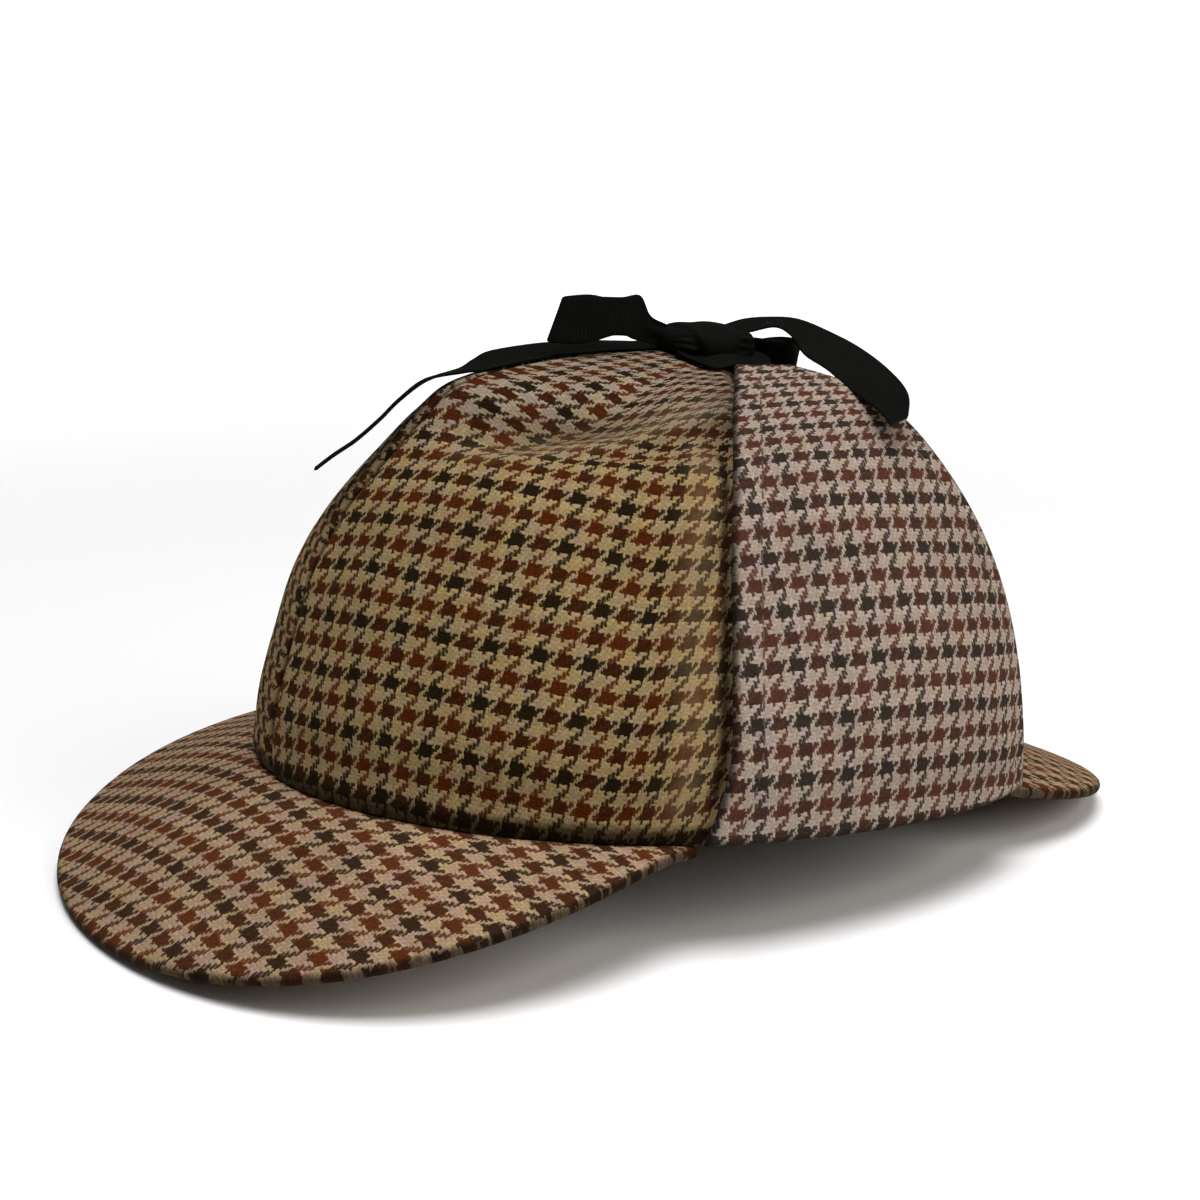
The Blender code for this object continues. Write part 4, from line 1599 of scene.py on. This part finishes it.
@dataclass
class Bow:
    """The ribbon: two ties, the knot, two loops and two tails.

    Attributes:
        ribbon: The ribbon's finish.
        strips: Every strip but the ties.
        wall: The ribbon's thickness in millimetres.
        steps: Faces from one station to the next.
        across: Faces across the ribbon.
        tie_width: The ties' width in millimetres.
        tie_spread: How much wider than that they are from the flap upwards, station by station.
        tie_top: How high the ties reach.
        tie_lift: How far their middle lies off the crown.
        tie_shift: How far before the flap's middle they start, in degrees.
        gathered: How far from a strip's ends its gathers run, in millimetres.
        usual_width: A strip's rough width, which its grid is graded for.
        selvedge: How wide its rolled rim is.
        knot_centre: The knot's middle.
        knot_size: The knot's size.
        wrap_length: The length of ribbon round the knot, in millimetres.
        wrap_width: The width of that ribbon, in millimetres.
        clear: How far above the crown's even face the ribbon's middle may lie.
    """

    ribbon: bpy.types.Material
    strips: tuple[Strip, ...] = (
        Strip("ribbon_loop_front", Hold.GATHERED, (
            (3.2, -3.6, 106.4, 5.0, 90.0, 90.0),
            (5.4, -9.6, 107.8, 6.8, 90.0, 90.0),
            (6.8, -14.2, 110.8, 10.8, 90.0, 84.0),
            (6.8, -19.0, 111.1, 9.2, 90.0, 88.0),
            (5.6, -27.0, 109.8, 11.6, 90.0, 82.0),
            (1.2, -33.2, 109.3, 11.4, 90.0, 70.0),
            (-2.8, -28.8, 109.9, 10.4, 90.0, 82.0),
            (-3.4, -21.0, 110.2, 10.2, 90.0, 86.0),
            (-1.8, -12.5, 109.2, 7.4, 90.0, 90.0),
            (0.2, -4.6, 106.8, 4.6, 90.0, 90.0),
        ), (0.6, 0.6)),
        Strip("ribbon_loop_rear", Hold.GATHERED, (
            (4.6, 16.6, 104.4, 6.4, 0.0, 50.0),
            (8.2, 21.8, 103.5, 7.8, 0.0, 50.0),
            (9.2, 27.6, 102.6, 8.4, 0.0, 56.0),
            (6.8, 32.4, 101.9, 8.6, 0.0, 74.0),
            (1.0, 34.2, 102.0, 8.4, 0.0, 90.0),
            (-4.8, 31.0, 102.5, 7.6, 0.0, 136.0),
            (-7.0, 25.6, 102.6, 7.0, 0.0, 172.0),
            (-3.6, 16.8, 104.0, 4.6, 0.0, 176.0),
        ), (0.5, 0.3)),
        Strip("ribbon_tail_front", Hold.DRAPED, (
            (-1.2, -2.6, 103.2, 13.0, 0.0, 0.0),
            (-5.0, -9.2, 102.8, 12.8, 0.0, -3.0),
            (-6.5, -17.6, 102.5, 12.6, 0.0, -4.5),
            (-6.5, -25.8, 101.7, 12.8, 0.0, -8.0),
            (-6.5, -34.0, 100.8, 12.9, 0.0, -9.0),
            (-6.5, -44.6, 98.7, 12.9, 0.0, -11.5),
            (-6.5, -49.8, 97.3, 10.4, -6.0, -8.0),
            (-6.4, -54.6, 95.9, 9.6, -17.0, 1.5),
            (-6.2, -63.7, 93.6, 12.0, -23.0, 7.0),
            (-6.2, -70.5, 88.7, 12.0, -22.2, 7.8),
            (-6.2, -75.2, 84.1, 12.0, -21.8, 8.2),
            (-6.2, -81.1, 79.1, 12.0, -21.2, 8.8),
            (-6.2, -86.6, 75.5, 11.8, -20.8, 9.0),
            (-6.2, -91.5, 71.9, 11.5, -20.3, 9.2),
        ), (0.3, 0.0)),
        Strip("ribbon_tail_rear", Hold.DRAPED, (
            (2.4, 12.8, 107.4, 7.0, 156.0, 14.0),
            (4.0, 18.5, 109.1, 9.6, 159.0, 14.0),
            (6.0, 25.1, 110.4, 10.4, 156.0, 8.0),
            (10.0, 29.2, 109.5, 10.6, 140.0, 19.0),
            (16.3, 32.0, 106.3, 12.0, 115.0, 27.0),
            (24.3, 35.4, 103.1, 13.1, 105.0, 22.5),
            (33.1, 37.6, 98.9, 13.2, 97.0, 20.5),
            (43.3, 37.9, 94.8, 13.0, 112.0, 15.0),
            (50.4, 35.4, 90.8, 12.2, 128.0, 3.0),
        ), (0.5, 0.0)),
    )
    wall: float = 0.8
    steps: int = 9
    across: int = 14
    tie_width: float = 13.0
    tie_spread: tuple[float, ...] = (1.25, 1.6, 1.8, 1.8, 1.5)
    tie_top: float = 101.8
    tie_lift: float = 1.3
    tie_shift: float = 12.0
    gathered: float = 9.0
    usual_width: float = 11.0
    selvedge: float = 0.4
    knot_centre: tuple[float, float, float] = (4.4, 6.6, 104.8)
    knot_size: tuple[float, float, float] = (22.0, 25.0, 9.6)
    wrap_length: float = 40.0
    wrap_width: float = 14.0
    clear: float = 0.05

    def build(self) -> list[bpy.types.Object]:
        """Makes the ribbon's pieces.

        Returns:
            The loops, the tails, the ties and the knot.
        """
        made = [self.strip(strip) for strip in (*self.strips, *map(self.tie, Side))]
        made.append(self.knot())
        return made

    def tie(self, side: Side) -> Strip:
        """Works out the short tie from a flap's top edge up the crown to the knot.

        Args:
            side: The tie's side of the hat.

        Returns:
            The tie as a strip.
        """
        top = EarFlaps.levels[-1]
        angle = radians(0.5 * (top[1] + top[2]) - self.tie_shift)
        count = len(self.tie_spread)
        levels = np.linspace(CROWN.level_of(top[0] + 0.6), CROWN.level_of(self.tie_top), count)
        spots = CROWN.face(angle, levels) + CROWN.outward(np.full(count, angle), levels) * self.tie_lift
        widths = self.tie_width * np.array(self.tie_spread)
        inner = side.value * self.knot_centre[0] + 0.3 * self.knot_size[0]
        if inner < spots[-1, 0]:
            height = CROWN.height_at(np.array([inner]), spots[-1:, 1])[0] + self.tie_lift
            spots = np.vstack([spots, (inner, spots[-1, 1], height)])
            widths = np.append(widths, self.tie_width)
        stations = tuple(
            (side.value * x, y, z, width, side.value * 90.0 - 4.0, 0.0)
            for (x, y, z), width in zip(spots.tolist(), widths.tolist(), strict=True)
        )
        return Strip(f"ribbon_tie_{side.name.lower()}", Hold.GATHERED, stations, (0.5, 0.9))

    def strip(self, strip: Strip) -> bpy.types.Object:
        """Makes one strip of ribbon with its gathers.

        Args:
            strip: Where it runs.

        Returns:
            The strip.
        """
        table = np.array(strip.stations)
        count = (len(table) - 1) * self.steps
        us = np.linspace(0.0, 1.0, count + 1)
        vs = graded(self.across, self.usual_width, self.selvedge)
        rows = read_table(table, us * (len(table) - 1))
        spine, width = rows[:, :3], rows[:, 3]
        turn, lean = np.radians(rows[:, 4]), np.radians(rows[:, 5])
        across = np.stack([np.cos(turn) * np.cos(lean), np.sin(turn) * np.cos(lean), np.sin(lean)], axis=-1)
        middle = spine[None] + across[None] * ((vs[:, None] - 0.5) * width[None])[..., None]
        along = np.concatenate([[0.0], np.cumsum(np.linalg.norm(np.diff(spine, axis=0), axis=1))])
        start, end = strip.pleats
        depth = start * hump(along, self.gathered) + end * hump(along[-1] - along, self.gathered)
        fold = np.sin(vs * 3 * pi)[:, None] * depth[None]
        middle = self.rest(middle + outwards(middle) * fold[..., None])
        flat = np.stack(np.broadcast_arrays(along[None], (vs[:, None] - 0.5) * width[None]), axis=-1)
        piece = ClothPiece(f"{strip.node}_strip", strip.node, Slot.RIBBON, self.ribbon, self.wall, strip.held)
        return piece.build(middle, flat)

    def rest(self, points: Grid) -> Grid:
        """Lays what would sink into the dented crown on its face.

        Args:
            points: Points of the ribbon, in millimetres.

        Returns:
            The points, none below the face.
        """
        under = points.copy()
        under[..., 2] = CROWN.height_at(points[..., 0], points[..., 1])
        rested = points.copy()
        rested[..., 2] = np.maximum(points[..., 2], under[..., 2] - CROWN.dent_depth(under) + self.clear)
        return rested

    def knot(self) -> bpy.types.Object:
        """Makes the knot: one turn of ribbon drawn tight round the gathered loops and ties.

        It is a squarish ball. The turn is the band round its middle, which narrows downwards between
        two furrows, and on either side of it the gathered ribbon shows its pleats.

        Returns:
            The knot.
        """
        lump = bmesh.new()
        lump.loops.layers.uv.new(FLAT_CUT)
        bmesh.ops.create_uvsphere(lump, u_segments=96, v_segments=64, radius=1.0, calc_uvs=True)
        sphere = np.array([vertex.co for vertex in lump.verts])
        x, y, z = np.sign(sphere.T) * np.abs(sphere.T) ** 0.8
        down = 0.5 * (1.0 - z)
        band = 0.58 - 0.26 * down
        edge = np.abs(y + 0.12)
        wings = ease(edge, band, band + 0.08)
        swell = 1.0 + 0.05 * (1.0 - wings) - 0.16 * hump(edge - band, 0.05)
        turn = np.arctan2(z, x)
        pleats = 0.045 * np.sin(13.0 * turn + 3.0 * y) + 0.04 * np.sin(5.0 * turn - 4.0 * y)
        swell += wings * (pleats - 0.06) + (1.0 - wings) * 0.03 * np.sin(9.0 * (y + 0.3 * down))
        points = np.stack([x * swell, y, z * swell], axis=-1) * np.array(self.knot_size) * 0.5
        placed = STANCE.place(self.rest(points + np.array(self.knot_centre)))
        for vertex, place in zip(lump.verts, placed, strict=True):
            vertex.co = place
        made = put_in_scene(lump, "ribbon_knot_wrap", self.ribbon)
        for loop in made.data.uv_layers[0].data:
            loop.uv = (loop.uv[1] * self.wrap_length * MM, loop.uv[0] * self.wrap_width * MM)
        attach(made, ROOT)
        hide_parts("ribbon_knot")
        LOG.info("%s: %d faces", made.name, len(made.data.polygons))
        return made


# --- stage -----------------------------------------------------------------------------------


@dataclass(frozen=True)
class Studio:
    """The pale floor, the soft lights and the camera at the photograph's angle.

    Attributes:
        eye: The camera's place, in metres.
        azimuth: The compass angle it looks from.
        elevation: How far it looks down, in degrees.
        lens_mm: Its focal length on a 36 mm sensor.
        floor_radius: How far the floor runs before it curves up, in metres.
    """

    eye: tuple[float, float, float] = (0.5085, -0.2626, 0.1925)
    azimuth: float = 63.2
    elevation: float = 12.7
    lens_mm: float = 69.36
    floor_radius: float = 3.0

    def build(self) -> None:
        """Sets up the camera, the floor and the lights."""
        self.camera()
        self.floor()
        self.lamp("window_light", 120.0, 30.0, 1.6, 1.0, 13.0, "#fffaf4")
        self.lamp("top_light", 70.0, 80.0, 1.6, 1.1, 33.0, "#fdfcff")
        world = bpy.data.worlds.new("studio_air")
        world.use_nodes = True
        world.node_tree.nodes["Background"].inputs["Color"].default_value = linear("#f4f2ee")
        world.node_tree.nodes["Background"].inputs["Strength"].default_value = 0.03
        bpy.context.scene.world = world
        bpy.context.scene.view_settings.view_transform = "Standard"

    @staticmethod
    def direction(azimuth: float, elevation: float) -> Vector:
        """The direction from the hat to a compass angle and height, both in degrees."""
        a, e = radians(azimuth), radians(elevation)
        return Vector((sin(a) * cos(e), -cos(a) * cos(e), sin(e)))

    def camera(self) -> None:
        """Puts the camera where the photograph was taken from."""
        data = bpy.data.cameras.new("camera")
        data.sensor_width = 36.0
        data.lens = self.lens_mm
        data.clip_start, data.clip_end = 0.02, 50.0
        made = bpy.data.objects.new("camera", data)
        made.location = self.eye
        made.rotation_euler = self.direction(self.azimuth, self.elevation).to_track_quat("Z", "Y").to_euler()
        bpy.context.scene.collection.objects.link(made)
        bpy.context.scene.camera = made

    def floor(self) -> None:
        """Spins a wide pale floor that curves up all round."""
        rise = 1.2
        body = bmesh.new()
        line = [body.verts.new((0.0, 0.0, 0.0)), body.verts.new((self.floor_radius, 0.0, 0.0))]
        for step in range(1, 13):
            turn = step / 12 * pi / 2
            line.append(body.verts.new((self.floor_radius + rise * sin(turn), 0.0, rise * (1 - cos(turn)))))
        line.append(body.verts.new((self.floor_radius + rise, 0.0, 3.6)))
        edges = [body.edges.new(pair) for pair in zip(line, line[1:])]
        bmesh.ops.spin(
            body, geom=line + edges, cent=(0, 0, 0), axis=(0, 0, 1), angle=2 * pi, steps=96, use_merge=True
        )
        bmesh.ops.remove_doubles(body, verts=body.verts, dist=1e-5)
        bmesh.ops.recalc_face_normals(body, faces=body.faces)
        put_in_scene(body, "floor", self.paper())

    @staticmethod
    def paper() -> bpy.types.Material:
        """Makes the floor's pale paper.

        Returns:
            The material, which glows a little far from the hat, as if the backdrop were lit too.
        """
        finish = Finish("pale_paper")
        add = finish.add
        place = add("ShaderNodeTexCoord", output="Object")
        far = add(VECTORS, {0: place}, "Value", operation="LENGTH")
        ramp = {"Value": far, "From Min": 0.25, "From Max": 1.6, "To Min": 0.0, "To Max": 0.9}
        glow = add(RANGE, ramp, **SMOOTH)
        seen = add("ShaderNodeLightPath", output="Is Camera Ray")
        return finish.shade({
            "Emission Strength": add(MATH, {0: glow, 1: seen}, operation="MULTIPLY"),
            "Emission Color": linear("#ffffff"),
            "Base Color": linear("#f1f1f0"),
            "Roughness": 0.95,
            "Specular IOR Level": 0.1,
        })

    def lamp(
        self,
        name: str,
        azimuth: float,
        elevation: float,
        distance: float,
        size: float,
        power: float,
        colour: str,
    ) -> None:
        """Hangs a soft light that looks at the hat.

        Args:
            name: The light's name.
            azimuth: Its compass angle.
            elevation: Its height, in degrees.
            distance: Its distance, in metres.
            size: Its width, in metres.
            power: Its power, in watts.
            colour: Its colour.
        """
        data = bpy.data.lights.new(name, "AREA")
        data.shape = "SQUARE"
        data.size = size
        data.energy = power
        data.color = linear(colour)[:3]
        made = bpy.data.objects.new(name, data)
        back = self.direction(azimuth, elevation)
        made.location = Vector((0.0, 0.0, 0.06)) + back * distance
        made.rotation_euler = back.to_track_quat("Z", "Y").to_euler()
        bpy.context.scene.collection.objects.link(made)


def report(made: Iterable[bpy.types.Object]) -> None:
    """Logs each finished piece with its triangles.

    Args:
        made: The pieces.
    """
    for piece in made:
        piece.data.calc_loop_triangles()
        LOG.info("%s done, %d triangles", piece.name, len(piece.data.loop_triangles))


def main() -> None:
    """Dresses the hat and sets up the studio."""
    logging.basicConfig(level=logging.INFO, format="%(name)s %(message)s")
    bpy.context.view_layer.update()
    # One cloth in three tones, lit and shaded copies of it: greenest on the crown, and paler and pinker on
    # the brims and the flaps, as painted light where the lamps reach them most
    crown_cloth = HoundstoothTweed().build("houndstooth_tweed_crown")
    brim_cloth = HoundstoothTweed(
        sand="#9b855f", rose="#997f6f", black="#302114", rust="#522913", below_top_tint="#ffffff"
    ).build("houndstooth_tweed_brims")
    flap_cloth = HoundstoothTweed(
        sand="#9a8d79", rose="#9c8a84", black="#2e2721", rust="#4b2c22", below_top_tint="#ffffff"
    ).build("houndstooth_tweed_flaps")
    ribbon = GrosgrainRibbon().build("black_grosgrain_ribbon")
    thread = SewingThread().build("brown_sewing_thread")
    Studio().build()
    for part in (Crown(crown_cloth), Brims(brim_cloth), EarFlaps(flap_cloth, thread), Bow(ribbon)):
        report(part.build())


if __name__ == "__main__":
    main()
